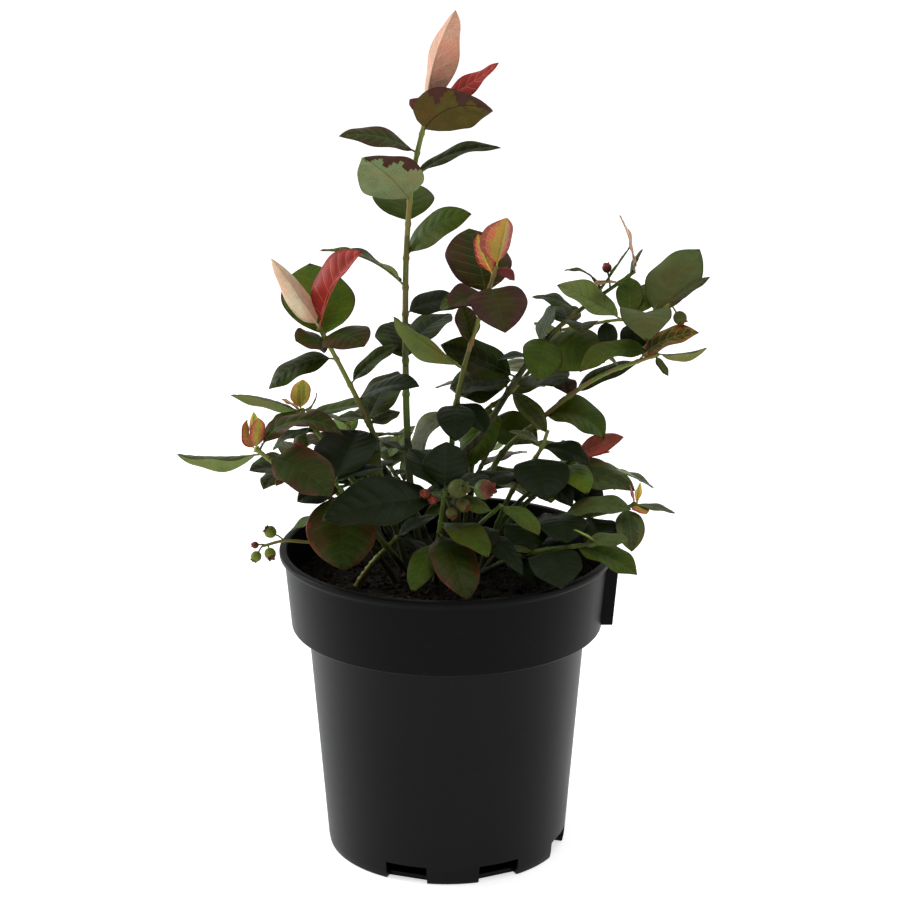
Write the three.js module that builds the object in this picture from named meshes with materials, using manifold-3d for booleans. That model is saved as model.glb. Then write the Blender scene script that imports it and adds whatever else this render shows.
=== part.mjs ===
// A young blueberry bush in a round nursery pot, in millimetres, +Z up, standing on Z = 0.
// The origin is the middle of the pot's flat underside. +X is the bush's right, +Y its back.
//
// The pot is moulded in one piece and filled with potting mix. Several canes rise out of the mix.
// Each cane is bare at its foot and then runs on as a leafy shoot: one solid of the upper cane with
// its side twigs, stalked leaves and fruit fused on. Every leaf, twig and fruit is worked out by the
// same few functions, from a shoot's own short rows or by a seeded rule.
import * as THREE from "three";
import { mergeVertices } from "three/addons/utils/BufferGeometryUtils.js";
import Module from "manifold-3d";

const wasm = await Module();
wasm.setup();

// ---------------------------------------------------------------- driving dimensions

const GAP = 0.3; // clear space between two pieces that rest on each other

const POT_HEIGHT = 169;
const POT_FOOT_RADIUS = 65;
const COLLAR_FOOT = 126; // height at which the wide collar starts
const NECK_RADIUS = 75; // the body's radius just under the collar
const COLLAR_RADIUS = 84; // at the collar's lower edge
const COLLAR_TOP_RADIUS = 87.3;
const LIP_RADIUS = 90;
const LIP_HEIGHT = 4;
const WALL = 1.6;
const FLOOR = 2.5;
const POT_SIDES = 56;

const DRAIN_ANGLES = [250.5, 295.5, 340.5, 70.5, 115.5, 160.5]; // where the drain notches are, degrees
const DRAIN_WIDTH = 23;
const DRAIN_HEIGHT = 10;
const DRAIN_DEPTH = 6;

const TAB_PROUD = 4.6; // the label tab on the collar's right
const TAB_WIDTH = 26;
const TAB_FOOT = 128;
const TAB_TOP = 162;

const MIX_TOP = 151; // height of the potting mix round the canes
const MIX_EDGE_DROP = 2.5; // how far it has sunk at the wall
const MIX_FLAT = 0.6; // the share of its radius that is level

const CANE_SIDES = 6;
const CANE_STEPS = 6;
const TWIG_SIDES = 4;
const FLARE = 1.5; // how much thicker a cane is at its foot
const FLARE_SHARE = 0.06; // the share of the cane that the flare takes

const LEAF_THICKNESS = 0.016; // of its length, at the midrib
const LEAF_STALK = 0.08; // share of the leaf's length that is stalk
const BLADE_LEAN = 0.92; // below 1, the widest place is nearer the stalk
const BLADE_FULLNESS = 0.64; // the smaller, the rounder the blade
const LEAF_FOLD = 0.18; // how far the margins rise, as a share of the half width
const STALK_RADIUS = 0.55;
const LEAF_STATIONS = [0, LEAF_STALK, 0.3, 0.56, 0.8, 1];

// The seeded rule: how the leaves of a shoot with no rows of its own stand.
const GOLDEN_TURN = 137.5; // degrees from one leaf to the next round a twig
const RULE = {
  turn: 22, // how far a leaf may stand off the spiral, degrees
  rise: [22, 18],
  length: [38, 8],
  droop: [35, 18],
  tilt: [0, 15],
  width: [0.56, 0.09],
};

// ---------------------------------------------------------------- materials

const plastic = new THREE.MeshStandardMaterial({ color: 0x2b2b2c, roughness: 0.55 });
const mix = new THREE.MeshStandardMaterial({ color: 0x1d1611, roughness: 0.95 });
const greenBark = new THREE.MeshStandardMaterial({ color: 0x55652f, roughness: 0.6 });
const oldBark = new THREE.MeshStandardMaterial({ color: 0x2f2a1e, roughness: 0.8 });
const foliage = new THREE.MeshStandardMaterial({ color: 0x35502c, roughness: 0.5 });

// ---------------------------------------------------------------- the canes and their shoots

// cane: the course of its middle, from the foot to the tip. radius: at the foot and at the tip.
// bare: the share of the course that carries no leaf.
// leaves, in order: [share of the course, turn, rise, length, droop, tilt, width as a share of length,
//   and, where a leaf bends to its left, by how much of its length].
//   turn is the compass angle that the leaf points to (0 right, 90 back), rise is its slope at the
//   stalk, droop is how much of that it loses by the tip, and tilt turns its face to its left.
// fruit: [share, turn, rise, length of its stalk, radius].
// rule: how many leaves the seeded rule adds, and from which seed.
// twigs: side twigs with a course, leaves and fruit of their own.
const SHOOTS = {
  tall: {
    cane: [[-12, 2], [-20, 0, 211], [-21.5, 0, 304], [-18, -4, 366], [-8, -10, 412]],
    radius: [2.1, 1.2],
    bare: 0.45,
    leaves: [
      [0.46, 108, 45, 31, 30, 0, 0.85],
      [0.48, 45, 38, 36, 25, 0, 0.66],
      [0.555, 10, 35, 31, 45, -25, 0.62],
      [0.61, 183, 52, 51, 52, -8, 0.36],
      [0.67, 345, 64, 45, 52, -45, 0.44],
      [0.74, 100, 36, 36, 20, 0, 0.92],
      [0.785, 222, 53, 43, 28, -38, 0.8],
      [0.83, 0, 45, 50, 48, -20, 0.26],
      [0.885, 190, 36, 42, 44, 25, 0.42],
      [0.925, 329, 58, 48, 73, 46, 0.68],
      [0.97, 285, 86, 55, 2, 52, 0.43, 0.3],
      [0.97, 150, 40, 12, 20, 30, 0.8],
      [0.98, 350, 26, 43, -10, -34, 0.34, 0.05],
    ],
  },
  centre: {
    cane: [[-3, 8], [2, 10, 215], [8.5, 10, 262], [26, 5, 321]],
    radius: [1.9, 1],
    bare: 0.5,
    leaves: [
      [0.53, 190, 12, 45, 65, 10, 0.5],
      [0.54, 268, 12, 34, 60, 0, 0.6],
      [0.57, 0, 30, 24, 40, 0, 0.5],
      [0.55, 320, -15, 24, 40, 0, 0.8],
      [0.66, 200, 34, 53, -8, -38, 0.34],
      [0.74, 130, 70, 22, 10, 0, 0.75],
      [0.9, 105, 55, 44, 20, 0, 0.82],
      [0.9, 205, 0, 28, 30, 20, 0.55],
      [0.91, 215, 5, 25, 25, 20, 0.8],
      [0.93, 282, 0, 37, 52, -5, 0.85],
      [0.97, 175, 76, 24, -10, -75, 0.55],
      [0.98, 350, 25, 12.5, 80, -30, 0.65],
      [1, 350, 78, 27, 0, 38, 0.95],
    ],
  },
  old: {
    cane: [[4, 16], [8, 16, 210], [20, 18, 228], [54, 20, 279], [99, 12, 317]],
    radius: [2.6, 0.9],
    bare: 0.5,
    leaves: [
      [0.53, 322, -28, 32, 15, -20, 0.4],
      [0.56, 200, 15, 36, 30, 30, 0.9],
      [0.64, 185, 5, 20, 20, 0, 0.7],
      [0.57, 178, 60, 45, 12, 45, 0.5],
      [0.67, 25, 65, 26, 20, 0, 0.55],
      [0.65, 334, 26, 43, 45, -30, 0.8],
      [0.7, 262, -34, 37, 40, 20, 0.6],
      [0.81, 170, 42, 26, 45, 10, 0.5],
      [0.86, 345, 57, 38, 0, 0, 0.12],
      [0.89, 175, 100, 27, 100, 0, 0.18],
      [0.95, 200, 15, 20, 20, 0, 0.45],
      [1, 175, 88, 32, 26, 0, 0.3],
      [0.98, 10, 70, 16, 0, 0, 0.5],
    ],
    fruit: [[0.92, 130, 75, 9, 2.6]],
    twigs: [
      {
        cane: [[60, 20, 283], [85, 8, 291], [106, -2, 296], [116, -8, 304]],
        leaves: [
          [0.1, 100, 30, 24, 20, 0, 0.7],
          [0.21, 265, 32, 26, 50, 0, 0.7],
          [0.42, 270, -22, 20, 40, 0, 0.55],
          [0.55, 164, 36, 39, 14, 28, 0.56],
          [0.62, 90, 60, 27, 20, 0, 0.55],
          [0.66, 70, 50, 26, 20, 0, 0.6],
          [0.7, 250, -35, 22, 30, 0, 0.7],
          [0.75, 266, 40, 38, 88, 0, 0.72],
          [0.8, 38, 55, 46, 20, -20, 0.6],
          [0.99, 0, 45, 26, 20, -10, 0.5],
        ],
        fruit: [[1, 340, -50, 6, 3.6]],
      },
    ],
  },
  right: {
    cane: [[12, 10], [25, 20, 206], [49, 15, 234], [79, 0, 262], [110, -15, 279]],
    radius: [1.9, 1],
    bare: 0.55,
    leaves: [
      [0.555, 352, 32, 39, 92, -22, 0.7],
      [0.67, 100, 25, 22, 20, 0, 0.6],
      [0.68, 5, 40, 40, 30, -20, 0.35],
      [0.87, 175, 45, 19, 20, 0, 0.45],
      [0.93, 350, 52, 37, 44, -26, 0.46],
      [0.98, 196, 34, 44, 76, 22, 0.38],
      [0.99, 320, -50, 13, 0, 0, 0.55],
      [1, 0, -4, 26, -20, 33, 0.52],
    ],
  },
  left: {
    cane: [[-20, 2], [-35, 0, 207], [-38, 0, 229], [-53, -10, 266], [-66, -15, 293]],
    radius: [2, 1.1],
    bare: 0.48,
    leaves: [
      [0.52, 330, 5, 19, 30, 0, 0.5],
      [0.53, 185, 10, 14, 10, 0, 0.35],
      [0.61, 190, 15, 16, 20, 10, 0.7],
      [0.585, 15, 32, 18, 25, -15, 0.7],
      [0.6, 58, 52, 35, 25, 5, 0.72],
      [0.69, 335, 42, 40, 42, -15, 0.5],
      [0.76, 22, 50, 34, 30, -20, 0.34],
      [0.87, 188, 12, 41, 62, 26, 0.42],
      [0.93, 220, 37, 22, 30, 25, 0.95],
      [0.96, 316, 30, 30, 56, -15, 0.95],
      [0.95, 108, 57, 46, 15, 0, 0.86],
      [1, 204, 59, 47, 3, -86, 0.5],
      [1, 345, 80, 50, 35, -35, 0.56],
    ],
  },
  low_left: {
    cane: [[-26, -10], [-57, -20, 198], [-83, -25, 217], [-99, -30, 232]],
    radius: [1.9, 1],
    bare: 0.6,
    leaves: [
      [0.79, 245, 10, 16, 30, 0, 0.4],
      [0.96, 180, -7, 45, -14, -33, 0.5],
      [0.93, 325, 5, 46, 40, -25, 0.62],
      [0.98, 0, 70, 52, 110, -20, 0.3],
      [1, 185, 32, 18, -80, 30, 0.5],
      [1, 300, 74, 18, -10, -10, 0.6],
      [1, 95, 62, 20, 0, 0, 0.3],
    ],
  },
  back_left: {
    cane: [[-18, 14], [-50, 14, 200], [-78, 10, 242]],
    radius: [1.7, 1],
    bare: 0.62,
    leaves: [
      [0.85, 190, 22, 28, 75, 10, 0.4],
      [0.96, 5, 14, 41, 10, -5, 0.42],
      [0.97, 180, 33, 41, 34, -33, 0.45],
      [0.99, 185, 22, 13, 20, 0, 0.6],
      [0.99, 0, 14, 14, -70, 0, 0.4],
      [1, 290, 82, 17.5, 0, 0, 0.68],
    ],
    fruit: [[0.9, 230, -40, 8, 4.2]],
    rule: { count: 3, seed: 21 },
  },
  right_centre: {
    cane: [[12, 18], [40, 14, 190], [69, 10, 216]],
    radius: [1.7, 1],
    bare: 0.55,
    leaves: [
      [0.9, 0, -10, 28, 10, 0, 0.36],
      [0.85, 300, 42, 35, 96, 0, 0.6],
      [0.8, 335, 23, 50, 50, -28, 0.4],
      [0.97, 355, 34, 31, 15, -35, 0.46],
    ],
    rule: { count: 3, seed: 5 },
  },
  middle_right: {
    cane: [[17, 4], [34, 4, 196], [49, 0, 221], [54, 2, 233]],
    radius: [1.7, 1],
    bare: 0.62,
    leaves: [
      [0.82, 278, 5, 38, 50, 0, 0.8],
      [0.68, 210, 5, 34, 50, 0, 0.7],
      [0.7, 330, 0, 34, 50, 0, 0.7],
      [0.9, 170, 42, 20, 40, 0, 0.75],
      [0.89, 345, 0, 28, 40, -20, 0.6],
    ],
  },
  low_right: {
    cane: [[16, -2], [45, -10, 185], [78, -12, 190], [101, -12, 196]],
    radius: [1.7, 1],
    bare: 0.4,
    leaves: [
      [0.43, 262, 12, 34, 60, 0, 0.7],
      [0.46, 20, 40, 34, 30, 0, 0.6],
      [0.57, 280, 0, 37, 50, 0, 0.75],
      [0.6, 338, 27, 42, 38, -20, 0.42],
      [0.74, 285, 0, 32, 50, 0, 0.7],
      [0.76, 100, 40, 30, 20, 0, 0.6],
      [0.94, 278, -16, 29, 40, 0, 0.55],
      [0.98, 310, 4, 11, 30, 0, 0.95],
      [0.98, 350, 0, 23, 30, 0, 0.5],
      [0.99, 170, 65, 12, 10, 0, 0.65],
      [1, 290, 80, 13, 0, 0, 0.3],
    ],
  },
  front_right: {
    cane: [[8, -12], [40, -36, 176], [79, -50, 187]],
    radius: [1.7, 1],
    bare: 0.4,
    leaves: [
      [0.43, 300, 20, 30, 60, 0, 0.65],
      [0.48, 50, 35, 36, 35, 0, 0.65],
      [0.6, 210, 20, 26, 40, 0, 0.6],
      [0.68, 282, 10, 38, 45, 0, 0.75],
      [0.84, 345, 4, 37, 34, -20, 0.55],
      [0.88, 340, 9, 28, 36, -20, 0.45],
      [0.99, 185, 35, 15, 20, 0, 0.4],
      [1, 25, 42, 9.5, 10, 0, 0.7],
    ],
  },
  front_middle: {
    cane: [[4, -8], [14, -30, 186], [28, -45, 206]],
    radius: [1.6, 1],
    bare: 0.5,
    leaves: [
      [0.58, 300, 14, 50, 60, 0, 0.3],
      [0.67, 285, 0, 26, 40, 0, 0.6],
      [0.9, 190, 30, 22, 25, 15, 0.75],
      [1, 318, 0, 29, 40, 0, 0.55],
    ],
  },
  front: {
    cane: [[-6, -10], [-4, -36, 186], [-1, -50, 216]],
    radius: [1.7, 1],
    bare: 0.45,
    leaves: [
      [0.52, 250, 0, 40, 50, 0, 0.42],
      [0.61, 287, -5, 50, 45, 0, 0.5],
      [0.71, 315, 5, 38, 40, 0, 0.6],
      [0.91, 190, 8, 64, 30, 40, 0.46],
      [0.95, 45, 20, 31, 20, 0, 0.8],
      [0.96, 135, 45, 33, 20, 0, 0.7],
      [1, 85, 40, 27, 20, 0, 0.9],
    ],
    fruit: [
      [0.94, 300, -40, 8, 3],
      [0.95, 335, -20, 8.5, 3.6],
      [0.95, 215, -10, 4.5, 2.4],
      [0.96, 200, 8, 8, 2.5],
      [0.97, 316, 16, 25, 5.2],
      [1, 320, 15, 5, 5],
    ],
  },
  front_left: {
    cane: [[-16, -10], [-40, -32, 190], [-58, -32, 214]],
    radius: [1.7, 1],
    bare: 0.5,
    leaves: [
      [0.85, 178, -22, 36, 12, 0, 0.4],
      [0.94, 270, -38, 44, 42, 0, 0.84],
      [0.94, 190, 8, 24, 40, 30, 0.75],
      [1, 70, 40, 42, 25, 0, 0.85],
      [1, 20, 35, 28, 30, 0, 0.7],
    ],
    twigs: [
      {
        cane: [[-45, -32, 198], [-66, -27, 181], [-85, -28, 181], [-97, -28, 178]],
        leaves: [],
        fruit: [
          [0.8, 180, 35, 6, 3.3],
          [0.95, 290, -40, 3, 3.1],
          [0.97, 190, 5, 4, 1.9],
          [1, 205, -55, 4, 2.9],
        ],
      },
    ],
  },
  sucker: {
    cane: [[-48, -15], [-38, -19, 167], [-26, -18, 180]],
    radius: [1.9, 1],
    bare: 0.62,
    leaves: [
      [0.8, 170, 30, 24, 30, 0, 0.6],
      [0.95, 20, 40, 26, 30, 0, 0.6],
      [1, 330, -5, 22, 20, 0, 0.45],
    ],
  },
  back: {
    cane: [[-5, 22], [-20, 50, 178], [-34, 80, 192]],
    radius: [1.8, 1],
    bare: 0.45,
    leaves: [],
    rule: { count: 9, seed: 7 },
  },
  back_middle: {
    cane: [[6, 24], [14, 44, 186], [24, 62, 206]],
    radius: [1.8, 1],
    bare: 0.45,
    leaves: [],
    rule: { count: 8, seed: 12 },
  },
  back_right: {
    cane: [[17, 25], [48, 46, 182], [80, 66, 194]],
    radius: [1.8, 1],
    bare: 0.45,
    leaves: [],
    rule: { count: 9, seed: 17 },
  },
  behind_right: {
    cane: [[12, 28], [16, 42, 221], [35, 46, 242], [60, 47, 270]],
    radius: [1.8, 1],
    bare: 0.55,
    leaves: [
      [0.55, 335, -6, 36, 12, -20, 0.8],
    ],
    rule: { count: 8, seed: 41 },
  },
  behind_left: {
    cane: [[-12, 24], [-38, 40, 188], [-56, 44, 228]],
    radius: [1.8, 1],
    bare: 0.5,
    leaves: [],
    rule: { count: 8, seed: 46 },
  },
  far_left: {
    cane: [[-24, 18], [-56, 40, 182], [-88, 52, 200]],
    radius: [1.8, 1],
    bare: 0.45,
    leaves: [],
    rule: { count: 9, seed: 29 },
  },
};

// ---------------------------------------------------------------- solids and meshes

const root = new THREE.Group();
const standing = []; // the space of each piece that is in place, or that a later piece will need

// A closed three.js geometry as a manifold solid. Triangles of a ring drawn in to a point are dropped.
function solidOf(geometry) {
  const bare = geometry.clone();
  bare.deleteAttribute("normal");
  bare.deleteAttribute("uv");
  const merged = mergeVertices(bare, 1e-4);
  const corners = [];
  for (let i = 0; i < merged.index.count; i += 3) {
    const [a, b, c] = [0, 1, 2].map((k) => merged.index.getX(i + k));
    if (a !== b && b !== c && c !== a) corners.push(a, b, c);
  }
  return new wasm.Manifold(
    new wasm.Mesh({
      numProp: 3,
      vertProperties: merged.attributes.position.array,
      triVerts: new Uint32Array(corners),
    }),
  );
}

function addPiece(name, solid, material) {
  const { vertProperties, triVerts } = solid.getMesh();
  const geometry = new THREE.BufferGeometry();
  geometry.setAttribute("position", new THREE.BufferAttribute(vertProperties, 3));
  geometry.setIndex(new THREE.BufferAttribute(triVerts, 1));
  const mesh = new THREE.Mesh(geometry, material);
  mesh.name = name;
  root.add(mesh);
  keepSpace(name, solid);
}

function keepSpace(name, solid) {
  standing.push({ name, solid, box: solid.boundingBox() });
}

// Whether a new leaf or fruit of a shoot would come into the space of another piece.
function entersASpace(name, solid) {
  const box = solid.boundingBox();
  const near = (other) =>
    [0, 1, 2].every((k) => box.min[k] <= other.box.max[k] && other.box.min[k] <= box.max[k]);
  return standing.some((o) => o.name !== name && near(o) && !o.solid.intersect(solid).isEmpty());
}

// A closed skin over rings: place(share, angle) gives the point of the ring at that share of the way
// along, and angle is null for the middle of an end. Equal points merge, so an end may be a point.
function skinOver(sides, shares, place) {
  const steps = shares.length - 1;
  const geometry = new THREE.CylinderGeometry(1, 1, 1, sides, steps);
  const points = geometry.attributes.position;
  for (let i = 0; i < points.count; i++) {
    const share = shares[Math.round((points.getY(i) + 0.5) * steps)];
    const atMiddle = Math.hypot(points.getX(i), points.getZ(i)) < 0.5;
    const angle = atMiddle ? null : Math.atan2(points.getX(i), points.getZ(i));
    const spot = place(share, angle);
    points.setXYZ(i, spot.x, spot.y, spot.z);
  }
  return solidOf(geometry);
}

// ---------------------------------------------------------------- pot and potting mix

function lathe(profile, sides) {
  const points = profile.map(([radius, height]) => new THREE.Vector2(radius, height));
  return solidOf(new THREE.LatheGeometry(points, sides).rotateX(Math.PI / 2));
}

function collarRadius(height) {
  const share = (height - COLLAR_FOOT) / (POT_HEIGHT - LIP_HEIGHT - COLLAR_FOOT);
  return THREE.MathUtils.lerp(COLLAR_RADIUS, COLLAR_TOP_RADIUS, share);
}

function makeTab() {
  const height = TAB_TOP - TAB_FOOT;
  const lean = Math.atan2(collarRadius(TAB_TOP) - collarRadius(TAB_FOOT), height);
  const sag = TAB_WIDTH ** 2 / 8 / COLLAR_RADIUS; // how far the collar curves away behind the tab
  const depth = TAB_PROUD + sag + WALL / 2;
  const geometry = new THREE.BoxGeometry(depth, TAB_WIDTH, height)
    .translate(-depth / 2, 0, height / 2)
    .rotateY(lean)
    .translate(collarRadius(TAB_FOOT) + TAB_PROUD, 0, TAB_FOOT);
  return solidOf(geometry);
}

function makePot() {
  const outside = [
    [0, 0],
    [POT_FOOT_RADIUS - 1, 0],
    [POT_FOOT_RADIUS, 1],
    [NECK_RADIUS, COLLAR_FOOT],
    [COLLAR_RADIUS - 1.5, COLLAR_FOOT],
    [COLLAR_RADIUS, COLLAR_FOOT + 1.5],
    [COLLAR_TOP_RADIUS, POT_HEIGHT - LIP_HEIGHT - 1],
    [LIP_RADIUS - 0.6, POT_HEIGHT - LIP_HEIGHT],
    [LIP_RADIUS, POT_HEIGHT - 1.5],
    [LIP_RADIUS - 1.2, POT_HEIGHT],
  ];
  const inside = [
    [collarRadius(POT_HEIGHT) - WALL, POT_HEIGHT],
    [collarRadius(COLLAR_FOOT + WALL) - WALL, COLLAR_FOOT + WALL],
    [NECK_RADIUS - WALL, COLLAR_FOOT + WALL],
    [POT_FOOT_RADIUS - WALL, FLOOR],
    [0, FLOOR],
  ];
  const room = lathe([[0, 1], ...inside.slice(0, -1).reverse(), [0, POT_HEIGHT]], POT_SIDES);
  let pot = lathe([...outside, ...inside], POT_SIDES).add(makeTab().subtract(room));
  const reach = DRAIN_DEPTH + 5;
  for (const angle of DRAIN_ANGLES) {
    const notch = new THREE.BoxGeometry(reach, DRAIN_WIDTH, DRAIN_HEIGHT * 2)
      .translate(POT_FOOT_RADIUS - DRAIN_DEPTH + reach / 2, 0, 0)
      .rotateZ(THREE.MathUtils.degToRad(angle));
    pot = pot.subtract(solidOf(notch));
  }
  return pot;
}

const MIX_EDGE_RADIUS = collarRadius(MIX_TOP) - WALL - 2 * GAP;

function mixHeight(x, y) {
  const slope = (Math.hypot(x, y) / MIX_EDGE_RADIUS - MIX_FLAT) / (1 - MIX_FLAT);
  return MIX_TOP - MIX_EDGE_DROP * Math.max(0, slope);
}

function makeMix() {
  const clear = WALL + 2 * GAP;
  const floor = FLOOR + GAP;
  const notchTop = DRAIN_HEIGHT + 3; // the mix is drawn in above the drain notches
  const bodySlope = (NECK_RADIUS - POT_FOOT_RADIUS) / COLLAR_FOOT;
  const ledge = COLLAR_FOOT + clear;
  return lathe(
    [
      [0, floor],
      [POT_FOOT_RADIUS - DRAIN_DEPTH - 2, floor],
      [POT_FOOT_RADIUS - DRAIN_DEPTH - 2, notchTop],
      [POT_FOOT_RADIUS + bodySlope * (notchTop + 5) - clear, notchTop + 5],
      [NECK_RADIUS - clear, COLLAR_FOOT],
      [NECK_RADIUS - clear, ledge],
      [collarRadius(ledge) - clear, ledge],
      [MIX_EDGE_RADIUS, MIX_TOP - MIX_EDGE_DROP],
      [MIX_EDGE_RADIUS * MIX_FLAT, MIX_TOP],
      [0, MIX_TOP],
    ],
    32,
  );
}

addPiece("pot", makePot(), plastic);
addPiece("potting_mix", makeMix(), mix);

// ---------------------------------------------------------------- canes and twigs

const UP = new THREE.Vector3(0, 0, 1);
const BACK = new THREE.Vector3(0, 1, 0);
const radians = THREE.MathUtils.degToRad;

// The smooth course through a row's points. A foot given without a height stands on the mix.
function courseOf(cane) {
  const points = cane.map(([x, y, z]) => new THREE.Vector3(x, y, z ?? mixHeight(x, y) + GAP));
  return new THREE.CatmullRomCurve3(points, false, "catmullrom", 0.5);
}

function shareSteps(from, to, steps) {
  return Array.from({ length: steps + 1 }, (_, i) => from + ((to - from) * i) / steps);
}

// A round tapering limb along part of a course. Its foot, at share 0, is cut level and flares.
function limb(course, from, to, radius, sides, steps) {
  return skinOver(sides, shareSteps(from, to, steps), (share, angle) => {
    const spot = course.getPointAt(share);
    if (angle === null) return spot;
    const along = share === 0 ? UP : course.getTangentAt(share);
    const across = new THREE.Vector3().crossVectors(BACK, along).normalize();
    const over = new THREE.Vector3().crossVectors(along, across);
    const flare = 1 + (FLARE - 1) * Math.max(0, 1 - share / FLARE_SHARE);
    const size = THREE.MathUtils.lerp(radius[0], radius[1], share) * (from === 0 ? flare : 1);
    return spot.addScaledVector(across, size * Math.cos(angle)).addScaledVector(over, size * Math.sin(angle));
  });
}

// ---------------------------------------------------------------- leaves and fruit

function bladeHalfWidth(share) {
  const along = THREE.MathUtils.clamp((share - LEAF_STALK) / (1 - LEAF_STALK), 0, 1);
  return 0.5 * Math.sin(Math.PI * along ** BLADE_LEAN) ** BLADE_FULLNESS;
}

// A leaf of four-sided sections: left margin, upper midrib, right margin, lower midrib. Its stalk
// starts in the middle of the twig, and its midrib bends down evenly to the tip.
function leaf(base, [turn, rise, length, droop, tilt, width, sweep = 0]) {
  const heading = new THREE.Vector3(Math.cos(radians(turn)), Math.sin(radians(turn)), 0);
  const place = (share, angle) => {
    const spot = base.clone();
    const walk = 12;
    let along = heading;
    for (let i = 0; i <= walk; i++) {
      const slope = radians(rise - (droop * share * i) / walk);
      along = heading.clone().multiplyScalar(Math.cos(slope)).addScaledVector(UP, Math.sin(slope));
      if (i) spot.addScaledVector(along, (length * share) / walk);
    }
    const side = new THREE.Vector3().crossVectors(UP, heading);
    side.applyAxisAngle(along, radians(-tilt));
    spot.addScaledVector(side, sweep * length * share ** 2);
    if (angle === null || share === 1) return spot;
    const face = new THREE.Vector3().crossVectors(along, side);
    const half = bladeHalfWidth(share) * length * width;
    const sideways = Math.max(half, STALK_RADIUS) * Math.cos(angle);
    const thick = Math.max((LEAF_THICKNESS * length) / 2, share <= LEAF_STALK ? STALK_RADIUS : 0);
    const lift = thick * Math.sin(angle) + Math.abs(Math.cos(angle)) * half * LEAF_FOLD;
    return spot.addScaledVector(side, sideways).addScaledVector(face, lift);
  };
  return skinOver(4, LEAF_STATIONS, place);
}

// A berry on its stalk: a faceted ball with a flat, sunken crown at its far end.
function berry(base, [turn, rise, stalk, radius]) {
  const heading = new THREE.Vector3(Math.cos(radians(turn)), Math.sin(radians(turn)), 0);
  const along = heading.multiplyScalar(Math.cos(radians(rise))).addScaledVector(UP, Math.sin(radians(rise)));
  const end = base.clone().addScaledVector(along, stalk);
  const middle = end.clone().addScaledVector(along, radius * 0.8);
  const stem = new THREE.LineCurve3(base, end.clone().addScaledVector(along, radius * 0.3));
  const profile = [[0, -1], [0.6, -0.8], [1, -0.1], [0.8, 0.6], [0.5, 0.9], [0.3, 0.7], [0, 0.7]];
  const ball = new THREE.LatheGeometry(profile.map(([r, h]) => new THREE.Vector2(r * radius, h * radius)), 6);
  ball.applyQuaternion(new THREE.Quaternion().setFromUnitVectors(BACK, along));
  ball.translate(middle.x, middle.y, middle.z);
  return limb(stem, 0.001, 1, [0.8, 0.6], 3, 1).add(solidOf(ball));
}

// The seeded rule's numbers: the same seed always gives the same shoot.
function* drawsFrom(seed) {
  let state = seed;
  while (true) {
    state = (state * 16807) % 2147483647;
    yield (2 * state) / 2147483647 - 1; // between -1 and 1
  }
}

// Leaves spaced evenly up the leafy share and turned by the golden angle, each a little off the rule.
function ruledLeaves({ count, seed }, bare) {
  const draws = drawsFrom(seed * 1000);
  const draw = ([middle, spread]) => middle + spread * draws.next().value;
  return Array.from({ length: count }, (_, i) => [
    bare + 0.04 + ((1 - bare - 0.04) * (i + 1)) / count,
    seed * 50 + GOLDEN_TURN * i + draw([0, RULE.turn]),
    draw(RULE.rise),
    draw(RULE.length) * (i === count - 1 ? 0.7 : 1),
    draw(RULE.droop),
    draw(RULE.tilt),
    draw(RULE.width),
  ]);
}

// The leafless upper cane of a shoot and its side twigs, in one solid.
function shootLimbs(row) {
  const course = courseOf(row.cane);
  const start = row.bare + GAP / course.getLength();
  const upper = limb(course, start, 1, row.radius, TWIG_SIDES, 5);
  const twigRadius = [row.radius[1], row.radius[1] * 0.8];
  const twigLimb = (twig) => limb(courseOf(twig.cane), 0.01, 1, twigRadius, TWIG_SIDES, 4);
  const twigs = (row.twigs ?? []).map(twigLimb);
  return twigs.reduce((joined, twig) => joined.add(twig), upper);
}

// The leaves and fruit of a limb. What would come into another piece's space is skipped.
function growthOn(name, row) {
  const course = courseOf(row.cane);
  const leaves = [...row.leaves, ...(row.rule ? ruledLeaves(row.rule, row.bare) : [])];
  const grown = [
    ...leaves.map(([share, ...shape]) => leaf(course.getPointAt(share), shape)),
    ...(row.fruit ?? []).map(([share, ...shape]) => berry(course.getPointAt(share), shape)),
  ];
  return grown.filter((piece) => !entersASpace(name, piece));
}

// Fusing can shut a small hollow in between leaves, so only the outer skin is kept.
function outerSkin(solid) {
  return solid.decompose().reduce((most, body) => (body.volume() > most.volume() ? body : most));
}

for (const [name, row] of Object.entries(SHOOTS)) {
  const cane = limb(courseOf(row.cane), 0, row.bare, row.radius, CANE_SIDES, CANE_STEPS);
  addPiece(name + "_cane", cane, name === "old" ? oldBark : greenBark);
  keepSpace(name, shootLimbs(row));
}
for (const [name, row] of Object.entries(SHOOTS)) {
  const growth = [row, ...(row.twigs ?? [])].flatMap((limbRow) => growthOn(name, limbRow));
  const shoot = growth.reduce((joined, piece) => joined.add(piece), shootLimbs(row));
  addPiece(name + "_shoot", outerSkin(shoot), foliage);
}

export default root;
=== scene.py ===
"""A young blueberry bush in a round nursery pot, standing on a pale table.

Lengths are in millimetres up to make_piece, which turns them into the metres of the frame.
"""

import math

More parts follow.
